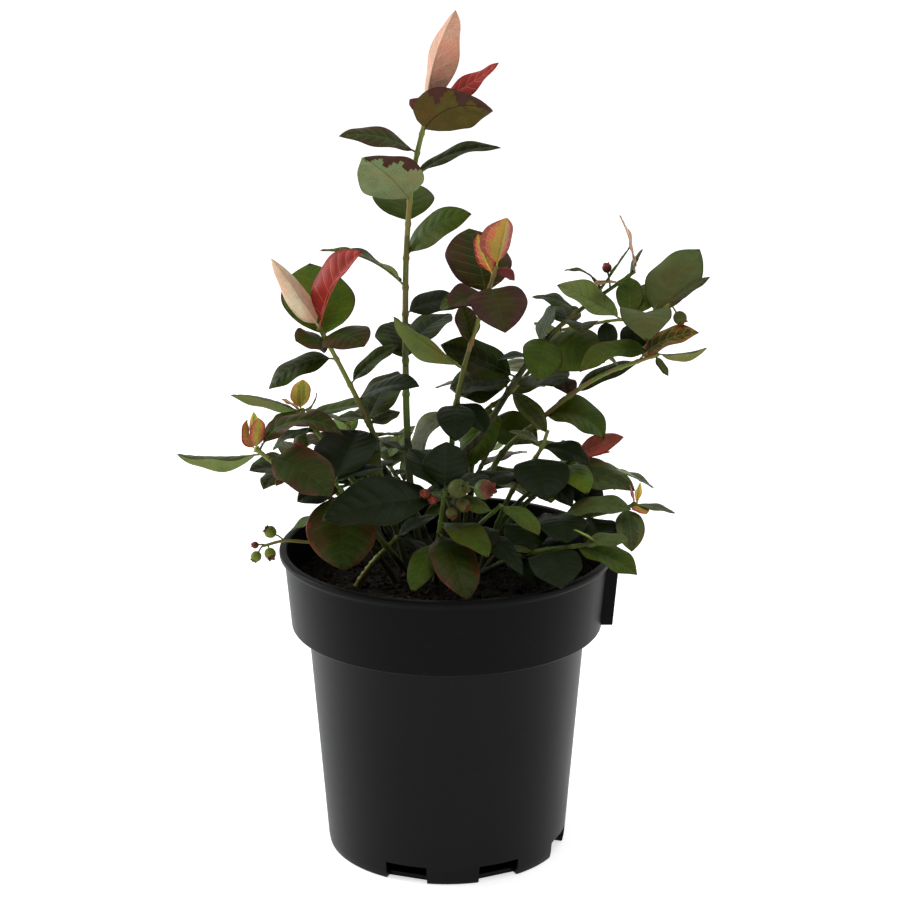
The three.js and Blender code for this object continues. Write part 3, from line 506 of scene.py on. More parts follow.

# ------------------------------------------------------------------ rows of the shoots
# Several canes rise out of the mix, bare at the foot and leafy above. Each shoot's short rows say
# where its cane runs and how its leaves and fruit stand, as in the solids.

# leaves: (share of the cane, turn, rise, length, droop, tilt, width, kind, and what is special).
# fruit: (share, turn, rise, length of its stalk, radius, kind).
# Leaves low at the front and inside the crown mostly take the darkest kind, whose tints are partly painted
# shade.
SHOOTS = {
    "tall": {
        "cane": [(-12, 2), (-20, 0, 211), (-21.5, 0, 304), (-18, -4, 366), (-8, -10, 412)],
        "radius": (2.1, 1.2),
        "bare": 0.45,
        "leaves": [
            (0.46, 108, 45, 31, 30, 0, 0.85, "dark"),
            (0.48, 45, 38, 36, 25, 0, 0.66, "dark"),
            (0.555, 10, 35, 31, 45, -25, 0.62, "deep"),
            (0.61, 183, 52, 51, 52, -8, 0.36, "pale"),
            (0.67, 345, 64, 45, 52, -45, 0.44, "green", {"fold": 0}),
            (0.74, 100, 36, 36, 20, 0, 0.92, "green"),
            (0.785, 222, 53, 43, 28, -38, 0.8, "turned", {"fold": 6, "belly": 0.7}),
            (0.83, 0, 45, 50, 48, -20, 0.26, "dark"),
            (0.885, 190, 36, 42, 44, 25, 0.42, "dusky", {"fold": 2}),
            (0.925, 329, 58, 48, 73, 46, 0.68, "olive", {"fold": 3, "belly": 0.72}),
            (0.97, 285, 86, 55, 2, 52, 0.43, "pink", {"fold": 40, "curl": -4, "sweep": 0.3, "belly": 0.8}),
            (0.97, 150, 40, 12, 20, 30, 0.8, "wine"),
            (0.98, 350, 26, 43, -10, -34, 0.34, "red", {"fold": 6, "sweep": 0.05}),
        ],
    },
    "centre": {
        "cane": [(-3, 8), (2, 10, 215), (8.5, 10, 262), (26, 5, 321)],
        "radius": (1.9, 1),
        "bare": 0.5,
        "leaves": [
            (0.53, 190, 12, 45, 65, 10, 0.5, "greyish"),
            (0.54, 268, 12, 34, 60, 0, 0.6, "deep"),
            (0.57, 0, 30, 24, 40, 0, 0.5, "deep"),
            (0.55, 320, -15, 24, 40, 0, 0.8, "deep"),
            (0.66, 200, 34, 53, -8, -38, 0.34, "pale", {"fold": -20}),
            (0.74, 130, 70, 22, 10, 0, 0.75, "dusky"),
            (0.9, 105, 55, 44, 20, 0, 0.82, "dusky"),
            (0.9, 205, 0, 28, 30, 20, 0.55, "pale"),
            (0.91, 215, 5, 25, 25, 20, 0.8, "purple"),
            (0.93, 282, 0, 37, 52, -5, 0.85, "purple"),
            (0.97, 175, 76, 24, -10, -75, 0.55, "coral", {"fold": 25}),
            (0.98, 350, 25, 12.5, 80, -30, 0.65, "wine"),
            (1, 350, 78, 27, 0, 38, 0.95, "orange", {"fold": 30}),
        ],
    },
    "old": {
        "cane": [(4, 16), (8, 16, 210), (20, 18, 228), (54, 20, 279), (99, 12, 317)],
        "radius": (2.6, 0.9),
        "bare": 0.5,
        "leaves": [
            (0.53, 322, -28, 32, 15, -20, 0.4, "greyish"),
            (0.56, 200, 15, 36, 30, 30, 0.9, "dark"),
            (0.64, 185, 5, 20, 20, 0, 0.7, "deep"),
            (0.57, 178, 60, 45, 12, 45, 0.5, "dark"),
            (0.67, 25, 65, 26, 20, 0, 0.55, "dark"),
            (0.65, 334, 26, 43, 45, -30, 0.8, "green"),
            (0.7, 262, -34, 37, 40, 20, 0.6, "green"),
            (0.81, 170, 42, 26, 45, 10, 0.5, "dark"),
            (0.86, 345, 57, 38, 0, 0, 0.12, "pale"),
            (0.89, 175, 100, 27, 100, 0, 0.18, "dusky"),
            (0.95, 200, 15, 20, 20, 0, 0.45, "bronze"),
            (1, 175, 88, 32, 26, 0, 0.3, "pink"),
            (0.98, 10, 70, 16, 0, 0, 0.5, "pale"),
        ],
        "fruit": [(0.92, 130, 75, 9, 2.6, "bud")],
        "twigs": [
            {
                "cane": [(60, 20, 283), (85, 8, 291), (106, -2, 296), (116, -8, 304)],
                "leaves": [
                    (0.1, 100, 30, 24, 20, 0, 0.7, "dark"),
                    (0.21, 265, 32, 26, 50, 0, 0.7, "dark"),
                    (0.42, 270, -22, 20, 40, 0, 0.55, "deep"),
                    (0.55, 164, 36, 39, 14, 28, 0.56, "silvery"),
                    (0.62, 90, 60, 27, 20, 0, 0.55, "green"),
                    (0.66, 70, 50, 26, 20, 0, 0.6, "green"),
                    (0.7, 250, -35, 22, 30, 0, 0.7, "deep"),
                    (0.75, 266, 40, 38, 88, 0, 0.72, "mauve"),
                    (0.8, 38, 55, 46, 20, -20, 0.6, "mauve"),
                    (0.99, 0, 45, 26, 20, -10, 0.5, "dusky"),
                ],
                "fruit": [(1, 340, -50, 6, 3.6, "spent")],
            },
        ],
    },
    "right": {
        "cane": [(12, 10), (25, 20, 206), (49, 15, 234), (79, 0, 262), (110, -15, 279)],
        "radius": (1.9, 1),
        "bare": 0.55,
        "leaves": [
            (0.555, 352, 32, 39, 92, -22, 0.7, "green"),
            (0.67, 100, 25, 22, 20, 0, 0.6, "olive"),
            (0.68, 5, 40, 40, 30, -20, 0.35, "dark"),
            (0.87, 175, 45, 19, 20, 0, 0.45, "mauve"),
            (0.93, 350, 52, 37, 44, -26, 0.46, "bronze"),
            (0.98, 196, 34, 44, 76, 22, 0.38, "green"),
            (0.99, 320, -50, 13, 0, 0, 0.55, "pale"),
            (1, 0, -4, 26, -20, 33, 0.52, "pale", {"fold": -17}),
        ],
    },
    "left": {
        "cane": [(-20, 2), (-35, 0, 207), (-38, 0, 229), (-53, -10, 266), (-66, -15, 293)],
        "radius": (2, 1.1),
        "bare": 0.48,
        "leaves": [
            (0.52, 330, 5, 19, 30, 0, 0.5, "dark"),
            (0.53, 185, 10, 14, 10, 0, 0.35, "dark"),
            (0.61, 190, 15, 16, 20, 10, 0.7, "greyish"),
            (0.585, 15, 32, 18, 25, -15, 0.7, "greyish"),
            (0.6, 58, 52, 35, 25, 5, 0.72, "dark"),
            (0.69, 335, 42, 40, 42, -15, 0.5, "deep"),
            (0.76, 22, 50, 34, 30, -20, 0.34, "dark"),
            (0.87, 188, 12, 41, 62, 26, 0.42, "dark", {"fold": -5}),
            (0.93, 220, 37, 22, 30, 25, 0.95, "dusky"),
            (0.96, 316, 30, 30, 56, -15, 0.95, "dusky"),
            (0.95, 108, 57, 46, 15, 0, 0.86, "bright"),
            (1, 204, 59, 47, 3, -86, 0.5, "cream", {"fold": 38, "curl": 40, "belly": 0.45}),
            (1, 345, 80, 50, 35, -35, 0.56, "red", {"fold": 35}),
        ],
    },
    "low_left": {
        "cane": [(-26, -10), (-57, -20, 198), (-83, -25, 217), (-99, -30, 232)],
        "radius": (1.9, 1),
        "bare": 0.6,
        "leaves": [
            (0.79, 245, 10, 16, 30, 0, 0.4, "bronze"),
            (0.96, 180, -7, 45, -14, -33, 0.5, "pale", {"fold": -17}),
            (0.93, 325, 5, 46, 40, -25, 0.62, "rusty"),
            (0.98, 0, 70, 52, 110, -20, 0.3, "dusky"),
            (1, 185, 32, 18, -80, 30, 0.5, "coral"),
            (1, 300, 74, 18, -10, -10, 0.6, "orange"),
            (1, 95, 62, 20, 0, 0, 0.3, "yellow"),
        ],
    },
    "back_left": {
        "cane": [(-18, 14), (-50, 14, 200), (-78, 10, 242)],
        "radius": (1.7, 1),
        "bare": 0.62,
        "leaves": [
            (0.85, 190, 22, 28, 75, 10, 0.4, "dark"),
            (0.96, 5, 14, 41, 10, -5, 0.42, "green"),
            (0.97, 180, 33, 41, 34, -33, 0.45, "pale", {"fold": -15}),
            (0.99, 185, 22, 13, 20, 0, 0.6, "orange"),
            (0.99, 0, 14, 14, -70, 0, 0.4, "bronze"),
            (1, 290, 82, 17.5, 0, 0, 0.68, "yellow"),
        ],
        "fruit": [(0.9, 230, -40, 8, 4.2, "berry")],
        "rule": {"count": 3, "seed": 21},
    },
    "right_centre": {
        "cane": [(12, 18), (40, 14, 190), (69, 10, 216)],
        "radius": (1.7, 1),
        "bare": 0.55,
        "leaves": [
            (0.9, 0, -10, 28, 10, 0, 0.36, "dark"),
            (0.85, 300, 42, 35, 96, 0, 0.6, "bright"),
            (0.8, 335, 23, 50, 50, -28, 0.4, "greyish"),
            (0.97, 355, 34, 31, 15, -35, 0.46, "brick"),
        ],
        "rule": {"count": 3, "seed": 5},
    },
    "middle_right": {
        "cane": [(17, 4), (34, 4, 196), (49, 0, 221), (54, 2, 233)],
        "radius": (1.7, 1),
        "bare": 0.62,
        "leaves": [
            (0.82, 278, 5, 38, 50, 0, 0.8, "deep"),
            (0.68, 210, 5, 34, 50, 0, 0.7, "deep"),
            (0.7, 330, 0, 34, 50, 0, 0.7, "deep"),
            (0.9, 170, 42, 20, 40, 0, 0.75, "mauve"),
            (0.89, 345, 0, 28, 40, -20, 0.6, "deep"),
        ],
    },
    "low_right": {
        "cane": [(16, -2), (45, -10, 185), (78, -12, 190), (101, -12, 196)],
        "radius": (1.7, 1),
        "bare": 0.4,
        "leaves": [
            (0.43, 262, 12, 34, 60, 0, 0.7, "deep"),
            (0.46, 20, 40, 34, 30, 0, 0.6, "green"),
            (0.57, 280, 0, 37, 50, 0, 0.75, "deep"),
            (0.6, 338, 27, 42, 38, -20, 0.42, "mauve"),
            (0.74, 285, 0, 32, 50, 0, 0.7, "deep"),
            (0.76, 100, 40, 30, 20, 0, 0.6, "deep"),
            (0.94, 278, -16, 29, 40, 0, 0.55, "greyish"),
            (0.98, 310, 4, 11, 30, 0, 0.95, "orange"),
            (0.98, 350, 0, 23, 30, 0, 0.5, "greyish"),
            (0.99, 170, 65, 12, 10, 0, 0.65, "red"),
            (1, 290, 80, 13, 0, 0, 0.3, "yellow"),
        ],
    },
    "front_right": {
        "cane": [(8, -12), (40, -36, 176), (79, -50, 187)],
        "radius": (1.7, 1),
        "bare": 0.4,
        "leaves": [
            (0.43, 300, 20, 30, 60, 0, 0.65, "deep"),
            (0.48, 50, 35, 36, 35, 0, 0.65, "deep"),
            (0.6, 210, 20, 26, 40, 0, 0.6, "green"),
            (0.68, 282, 10, 38, 45, 0, 0.75, "deep"),
            (0.84, 345, 4, 37, 34, -20, 0.55, "green"),
            (0.88, 340, 9, 28, 36, -20, 0.45, "mauve"),
            (0.99, 185, 35, 15, 20, 0, 0.4, "lime"),
            (1, 25, 42, 9.5, 10, 0, 0.7, "yellow"),
        ],
    },
    "front_middle": {
        "cane": [(4, -8), (14, -30, 186), (28, -45, 206)],
        "radius": (1.6, 1),
        "bare": 0.5,
        "leaves": [
            (0.58, 300, 14, 50, 60, 0, 0.3, "deep"),
            (0.67, 285, 0, 26, 40, 0, 0.6, "deep"),
            (0.9, 190, 30, 22, 25, 15, 0.75, "green"),
            (1, 318, 0, 29, 40, 0, 0.55, "green"),
        ],
    },
    "front": {
        "cane": [(-6, -10), (-4, -36, 186), (-1, -50, 216)],
        "radius": (1.7, 1),
        "bare": 0.45,
        "leaves": [
            (0.52, 250, 0, 40, 50, 0, 0.42, "green"),
            (0.61, 287, -5, 50, 45, 0, 0.5, "rusty"),
            (0.71, 315, 5, 38, 40, 0, 0.6, "green"),
            (0.91, 190, 8, 64, 30, 40, 0.46, "deep"),
            (0.95, 45, 20, 31, 20, 0, 0.8, "deep"),
            (0.96, 135, 45, 33, 20, 0, 0.7, "deep"),
            (1, 85, 40, 27, 20, 0, 0.9, "deep"),
        ],
        "fruit": [
            (0.94, 300, -40, 8, 3, "cup"),
            (0.95, 335, -20, 8.5, 3.6, "cup"),
            (0.95, 215, -10, 4.5, 2.4, "bud"),
            (0.96, 200, 8, 8, 2.5, "bud"),
            (0.97, 316, 16, 25, 5.2, "berry"),
            (1, 320, 15, 5, 5, "unripe"),
        ],
    },
    "front_left": {
        "cane": [(-16, -10), (-40, -32, 190), (-58, -32, 214)],
        "radius": (1.7, 1),
        "bare": 0.5,
        "leaves": [
            (0.85, 178, -22, 36, 12, 0, 0.4, "green"),
            (0.94, 270, -38, 44, 42, 0, 0.84, "blotched"),
            (0.94, 190, 8, 24, 40, 30, 0.75, "deep"),
            (1, 70, 40, 42, 25, 0, 0.85, "deep"),
            (1, 20, 35, 28, 30, 0, 0.7, "deep"),
        ],
        "twigs": [
            {
                "cane": [(-45, -32, 198), (-66, -27, 181), (-85, -28, 181), (-97, -28, 178)],
                "leaves": [],
                "fruit": [
                    (0.8, 180, 35, 6, 3.3, "fruitlet"),
                    (0.95, 290, -40, 3, 3.1, "fruitlet"),
                    (0.97, 190, 5, 4, 1.9, "bud"),
                    (1, 205, -55, 4, 2.9, "fruitlet"),
                ],
            },
        ],
    },
    "sucker": {
        "cane": [(-48, -15), (-38, -19, 167), (-26, -18, 180)],
        "radius": (1.9, 1),
        "bare": 0.62,
        "leaves": [
            (0.8, 170, 30, 24, 30, 0, 0.6, "deep"),
            (0.95, 20, 40, 26, 30, 0, 0.6, "deep"),
            (1, 330, -5, 22, 20, 0, 0.45, "deep"),
        ],
    },
    "back": {
        "cane": [(-5, 22), (-20, 50, 178), (-34, 80, 192)],
        "radius": (1.8, 1),
        "bare": 0.45,
        "leaves": [],
        "rule": {"count": 9, "seed": 7},
    },
    "back_middle": {
        "cane": [(6, 24), (14, 44, 186), (24, 62, 206)],
        "radius": (1.8, 1),
        "bare": 0.45,
        "leaves": [],
        "rule": {"count": 8, "seed": 12},
    },
    "back_right": {
        "cane": [(17, 25), (48, 46, 182), (80, 66, 194)],
        "radius": (1.8, 1),
        "bare": 0.45,
        "leaves": [],
        "rule": {"count": 9, "seed": 17},
    },
    "behind_right": {
        "cane": [(12, 28), (16, 42, 221), (35, 46, 242), (60, 47, 270)],
        "radius": (1.8, 1),
        "bare": 0.55,
        "leaves": [(0.55, 335, -6, 36, 12, -20, 0.8, "green")],
        "rule": {"count": 8, "seed": 41},
    },
    "behind_left": {
        "cane": [(-12, 24), (-38, 40, 188), (-56, 44, 228)],
        "radius": (1.8, 1),
        "bare": 0.5,
        "leaves": [],
        "rule": {"count": 8, "seed": 46},
    },
    "far_left": {
        "cane": [(-24, 18), (-56, 40, 182), (-88, 52, 200)],
        "radius": (1.8, 1),
        "bare": 0.45,
        "leaves": [],
        "rule": {"count": 9, "seed": 29},
    },
}

# The seeded rule: leaves spaced evenly up the leafy share and turned by the golden angle, with each
# measure drawn from its middle and how far it may stray.
GOLDEN_TURN = 137.5
RULE_START = 0.04  # share of the cane between its bare foot and the first leaf's own stretch
RULE = {
    "turn": (0, 22),
    "rise": (22, 18),
    "length": (38, 8),
    "droop": (35, 18),
    "tilt": (0, 15),
    "width": (0.56, 0.09),
}
RULE_KINDS = "dark green greyish dark green purple dark bright green dark mauve".split()
TOP_LEAF_SHARE = 0.7  # the topmost leaf is shorter than the others
GAP = 0.3  # between the mix and a cane, and between a cane and its shoot


def rule_draws(seed):
    """The rule's numbers between -1 and 1: the same seed always gives the same shoot."""
    state = seed * 1000
    while True:
        state = state * 16807 % 2147483647
        yield 2 * state / 2147483647 - 1


def ruled_leaves(row):
    """The leaves that the rule gives a shoot, as rows like those listed."""
    if "rule" not in row:
        return []
    count, seed = row["rule"]["count"], row["rule"]["seed"]
    first = row["bare"] + RULE_START
    draws = rule_draws(seed)
    leaves = []
    for i in range(count):
        drawn = {key: middle + stray * next(draws) for key, (middle, stray) in RULE.items()}
        leaves.append(
            (
                first + (1 - first) * (i + 1) / count,
                seed * 50 + GOLDEN_TURN * i + drawn["turn"],
                drawn["rise"],
                drawn["length"] * (TOP_LEAF_SHARE if i == count - 1 else 1),
                drawn["droop"],
                drawn["tilt"],
                drawn["width"],
                RULE_KINDS[(seed + i) % len(RULE_KINDS)],
            )
        )
    return leaves


def course_of(cane):
    """The smooth course through a row's points. A foot given without a height stands on the mix."""
    knots = np.array([p if len(p) == 3 else (*p, mix_height(*p) + GAP) for p in cane], float)
    knots = np.concatenate([[2 * knots[0] - knots[1]], knots, [2 * knots[-1] - knots[-2]]])
    steps = np.linspace(0, 1, 60, endpoint=False)[:, None]
    spots = []
    for a, b, c, d in zip(knots, knots[1:], knots[2:], knots[3:]):
        start, end = (c - a) / 2, (d - b) / 2
        spots.append(
            (2 * steps**3 - 3 * steps**2 + 1) * b
            + (steps**3 - 2 * steps**2 + steps) * start
            + (3 * steps**2 - 2 * steps**3) * c
            + (steps**3 - steps**2) * end
        )
    line = np.concatenate([*spots, knots[-2:-1]])
    lengths = np.concatenate([[0], np.cumsum(np.linalg.norm(np.diff(line, axis=0), axis=1))])
    return line, lengths


def spot_on(course, share):
    line, lengths = course
    reached = np.multiply(share, lengths[-1])
    return np.stack([np.interp(reached, lengths, line[:, k]) for k in range(3)], -1)


# ------------------------------------------------------------------ canes and twigs
# Woody stems with a thin bark: the old cane is ridged and dark, and the young ones are green at the
# foot, russet where the sun has caught them and pale green near the tip. The young canes' feet are
# darkened with painted shade, and the low shoots keep the darker green bark as painted shade. Each leaf
# stands on a joint.

CANE_SIDES = 14
TWIG_SIDES = 10
RING_SPACING = 0.8
FLARE = 1.5  # how much wider a cane is where it leaves the mix
FLARE_SHARE = 0.06
JOINT_SWELL = 0.28  # how much wider a limb is at a leaf's joint
JOINT_LENGTH = 1.1
SCAR_SPACING = 0.11  # share of the cane between the scars of fallen leaves
FOOT_SINK = 2.5  # how far a cane's foot reaches into the mix
LOW_SHOOT = 220  # shoots that end below this height stand in the shade of the others
BACK = np.array([0.0, 1.0, 0.0])
# Each bark: its finish's name, its two tones, the share of the first, the depth of its ridges in
# metres and its roughness.
BARKS = {
    "old_bark": ("old_ridged_bark", (54, 58, 34), (84, 82, 56), 0.5, 0.0006, 0.8),
    "shaded_bark": ("shaded_foot_bark", (56, 62, 32), (50, 46, 30), 0.55, 0.0002, 0.7),
    "green_bark": ("young_green_bark", (80, 98, 34), (66, 64, 32), 0.6, 0.0001, 0.5),
    "russet_bark": ("sunned_russet_bark", (104, 84, 46), (88, 98, 40), 0.5, 0.0001, 0.5),
    "pale_bark": ("new_pale_bark", (116, 126, 54), (138, 102, 66), 0.6, 0.00005, 0.45),
}
# The share of a limb at which each of its barks ends.
OLD_LIMB = [(0.72, "old_bark"), (0.9, "russet_bark"), (1, "green_bark")]
YOUNG_LIMB = [(0.3, "shaded_bark"), (0.5, "green_bark"), (0.72, "russet_bark"), (1, "pale_bark")]
SHADED_LIMB = [(0.3, "shaded_bark"), (1, "green_bark")]
NEW_LIMB = [(1, "pale_bark")]


def screen_colour(red, green, blue):
    """A colour named as a screen shows it, 0 to 255, in the linear numbers that a shader takes."""
    linear = [((c / 255 + 0.055) / 1.055) ** 2.4 if c > 10 else c / 255 / 12.92 for c in (red, green, blue)]
    return (*linear, 1)


def bark_finish(name, base, patch, patch_share, ridge, roughness):
    """Bark with patches of a second tone, fine ridges along the stem and small pale pores."""
    material, tree, surface = blank_finish(name)
    base, patch = screen_colour(*base), screen_colour(*patch)
    pale = tuple(0.2 + 0.5 * c for c in base[:3]) + (1,)
    where = add_node(tree, "ShaderNodeTexCoord").outputs["Object"]
    stretch = {"Vector": where, "Scale": (1, 1, 0.18)}
    drawn_out = add_node(tree, "ShaderNodeMapping", stretch).outputs["Vector"]
    patches = noise(tree, drawn_out, 170.0, 4.0)
    shift = remap(tree, patches, (patch_share - 0.12, patch_share + 0.12), (0, 1))
    pores = add_node(tree, "ShaderNodeTexVoronoi", {"Vector": where, "Scale": 480.0}).outputs["Distance"]
    pore = remap(tree, pores, (0.12, 0.2), (0.2, 0))
    dotted = blend(tree, pore, blend(tree, shift, base, patch), pale)
    tree.links.new(dotted, surface.inputs["Base Color"])
    surface.inputs["Roughness"].default_value = roughness
    surface.inputs["Specular IOR Level"].default_value = 0.2
    streaks = noise(tree, drawn_out, 900.0, 5.0)
    bump = add_node(tree, "ShaderNodeBump", {"Height": streaks, "Strength": 0.6, "Distance": ridge})
    tree.links.new(bump.outputs["Normal"], surface.inputs["Normal"])
    return material


def shoot_nodes(names):
    """The frame's nodes for the leafy parts of the named shoots."""
    return [name + "_shoot" for name in names]


def limb_skin(course, start, end, radius, sides, joints, flares, tints):
    """A round tapering limb with a swelling at every joint. tints: pairs of share and finish."""
    length = course[1][-1]
    shares = np.linspace(start, end, max(6, int(length * (end - start) / RING_SPACING)))
    size = radius[0] + (radius[1] - radius[0]) * shares
    if flares:
        size = size * (1 + (FLARE - 1) * np.maximum(0, 1 - shares / FLARE_SHARE))
    for joint in joints:
        size = size * (1 + JOINT_SWELL * np.exp(-(((shares - joint) * length / JOINT_LENGTH) ** 2)))
    angles = np.arange(sides) * 2 * np.pi / sides
    climb = shares[:, None]
    fluting = 1 + 0.03 * np.sin(3 * angles + climb * 9) + 0.02 * np.sin(5 * angles - climb * 40)
    spots = spot_on(course, shares)
    rings = tube(spots, size[:, None] * fluting, sides, BACK)
    points, faces = skin_over(rings, spots[0], spots[-1])
    strip = [next(tint for until, tint in tints if share <= until) for share in shares[1:]]
    names = [tint for tint in strip for _ in range(sides)]
    return points, faces, names + [names[0]] * sides + [names[-1]] * sides


bark = {slot: bark_finish(*row) for slot, row in BARKS.items()}
leafy_limbs = []  # each limb that bears leaves: its shoot's name, its row and its course
old_skins, young_skins, twig_skins = [], [], []
for name, row in SHOOTS.items():
    row["leaves"] = row["leaves"] + ruled_leaves(row)
    course = course_of(row["cane"])
    line, lengths = course
    bare, radius = row["bare"], row["radius"]
    tints = YOUNG_LIMB
    if name == "old":
        tints = OLD_LIMB
    elif name == "sucker":
        tints = NEW_LIMB
    elif row["cane"][-1][2] < LOW_SHOOT:
        tints = SHADED_LIMB
    scars = np.arange(bare - 0.06, 0.12, -SCAR_SPACING)
    sunk = FOOT_SINK * np.exp(-np.linspace(0, 40, len(line)))[:, None]
    foot = (line - UP * sunk, lengths)
    skins = old_skins if name == "old" else young_skins
    skins.append(limb_skin(foot, 0, bare, radius, CANE_SIDES, scars, True, tints))
    joints = [leaf[0] for leaf in row["leaves"]]
    start = bare + GAP / lengths[-1]
    twig_skins.append(limb_skin(course, start, 1, radius, TWIG_SIDES, joints, False, tints))
    leafy_limbs.append((name, row, course))
    for twig in row.get("twigs", []):
        twig_course = course_of(twig["cane"])
        joints = [leaf[0] for leaf in twig["leaves"]]
        thin = (radius[1], radius[1] * 0.8)
        twig_skins.append(limb_skin(twig_course, 0.01, 1, thin, TWIG_SIDES, joints, False, NEW_LIMB))
        leafy_limbs.append((name, twig, twig_course))

young_canes = [name + "_cane" for name in SHOOTS if name != "old"]
for piece_name, skins, slot, nodes in [
    ("old_cane_bark", old_skins, "old_bark", ["old_cane"]),
    ("young_cane_bark", young_skins, "green_bark", young_canes),
    ("leafy_twigs", twig_skins, "green_bark", shoot_nodes(SHOOTS)),
]:
    piece = make_piece(piece_name, skins, bark)
    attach(piece, "root")
    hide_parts(*nodes)

# ------------------------------------------------------------------ leaves
# Leathery oval leaves on short stalks, a little folded along the midrib, quilted between their side
# veins and gently waved at the margin. Old ones are dark green edged with plum, and new ones coral.
# Leaves low in the bush and inside the crown take the darkest tints, partly as painted shade, and some
# leaves take a pale top or underside that is partly painted sheen.

STALK_SHARE = 0.08
LEAF_THICKNESS = 0.32
LEAF_GLOSS = 0.1
BELLY = 0.92
VEIN_PAIRS = 7
VEIN_WIDTH = 0.007  # share of the leaf's length
MIDRIB_WIDTH = 0.55
QUILT_DEPTH = 0.008  # share of the leaf's length
SIDE_VEIN_REACH = 0.8
MARGIN_WAVES = 1.9  # along each margin
ACROSS = np.array([1, 0.955, 0.86, 0.72, 0.54, 0.36, 0.18, 0])  # from the margin to the midrib
MOTTLE = 0.12  # how far the edges between tints wander, as a share of half the width
SLIGHT_MOTTLE = 0.04

# The leaves' tints, as a screen shows them.
TINTS = {
    # The darkest green is partly the leaves' own dark green and partly painted shade.
    "night_green": (22, 34, 8),
    "deep_green": (34, 44, 10),
    "dark_green": (48, 62, 14),
    "mid_green": (66, 86, 18),
    "bright_green": (84, 112, 24),
    "grey_green": (82, 96, 50),
    "slate_green": (62, 76, 40),
    "olive": (86, 75, 32),
    "dusk": (64, 56, 24),
    "plum": (72, 46, 38),
    "rust": (92, 56, 38),
    "bronze": (146, 104, 46),
    "under_green": (112, 126, 64),
    # The silver green is partly the leaf's own pale underside and partly painted sheen.
    "silver_green": (122, 136, 92),
    "dark_vein": (62, 77, 26),
    "vein_green": (82, 100, 32),
    "pale_vein": (104, 130, 44),
    "maroon": (104, 48, 46),
    "crimson": (140, 42, 38),
    "brick": (168, 88, 76),
    "red": (152, 56, 48),
    "coral": (208, 112, 82),
    "rose": (206, 160, 134),
    "cream": (208, 188, 156),
    "orange": (224, 146, 76),
    "gold": (186, 152, 70),
    "yellow": (226, 208, 100),
    "lime": (160, 180, 72),
}

# Each kind of leaf: tints from the midrib out to the margin, where the second and the third start,
# and the tints of the underside and the veins.
KINDS = {
    "dark": (("deep_green", "dark_green", "plum"), (0.45, 0.955), "under_green", "dark_vein"),
    # The darkest kind: partly the leaves' own dark green, partly painted shade for leaves low in the bush and
    # inside the crown.
    "deep": (("night_green", "night_green", "deep_green"), (0.6, 0.94), "slate_green", "deep_green"),
    "green": (("mid_green", "mid_green", "plum"), (0.6, 0.965), "under_green", "vein_green"),
    "bright": (("bright_green", "bright_green", "plum"), (0.7, 0.965), "under_green", "pale_vein"),
    "greyish": (("slate_green", "grey_green", "plum"), (0.5, 0.96), "under_green", "vein_green"),
    # The silvery kind's pale top and silver underside are partly the leaf's own pale colour and partly
    # painted sheen.
    "silvery": (("under_green", "under_green", "plum"), (0.55, 0.95), "silver_green", "grey_green"),
    # The pale kind's grey-green top is painted sheen, where the upper face catches the light from behind,
    # over the leaf's own green.
    "pale": (("grey_green", "dark_green", "plum"), (0.6, 0.95), "under_green", "vein_green"),
    "dusky": (("dark_green", "dusk", "plum"), (0.4, 0.85), "olive", "vein_green"),
    "turned": (("plum", "dusk", "plum"), (0.55, 0.95), "silver_green", "grey_green"),
    "olive": (("plum", "plum", "maroon"), (0.6, 0.95), "olive", "plum"),
    "purple": (("dusk", "plum", "plum"), (0.5, 0.75), "olive", "dark_vein"),
    "mauve": (("grey_green", "grey_green", "dusk"), (0.5, 0.94), "under_green", "vein_green"),
    "blotched": (("dark_green", "dusk", "rust"), (0.56, 0.91), "olive", "dark_vein"),
    "rusty": (("dark_green", "dusk", "rust"), (0.66, 0.915), "olive", "dark_vein"),
    "bronze": (("olive", "bronze", "plum"), (0.5, 0.93), "under_green", "lime"),
    "wine": (("maroon", "maroon", "plum"), (0.5, 0.85), "maroon", "rust"),
    "red": (("red", "red", "crimson"), (0.5, 0.85), "brick", "coral"),
    "brick": (("brick", "brick", "red"), (0.5, 0.85), "brick", "coral"),
    "coral": (("gold", "coral", "red"), (0.4, 0.75), "coral", "yellow"),
    "pink": (("rose", "rose", "rose"), (0.5, 0.85), "rose", "cream"),
    "cream": (("cream", "cream", "cream"), (0.5, 0.85), "cream", "cream"),
    "orange": (("gold", "coral", "brick"), (0.45, 0.7), "orange", "lime"),
    "yellow": (("lime", "yellow", "orange"), (0.42, 0.84), "yellow", "yellow"),
    "lime": (("lime", "bright_green", "olive"), (0.4, 0.9), "under_green", "yellow"),
}
MOTTLED_KINDS = ("blotched", "rusty", "bronze")
# Kinds whose upper face shows beyond the rolled tip and margin: how far up the blade the roll
# starts at the midrib, and how much sooner or later at the margins.
ROLLED_KINDS = {"olive": (0.62, -0.22), "turned": (0.82, 0.55)}
NOT_ROLLED = (9, 0)  # a start far beyond the tip
NEW_KINDS = ("wine", "red", "brick", "coral", "pink", "cream", "orange", "yellow")


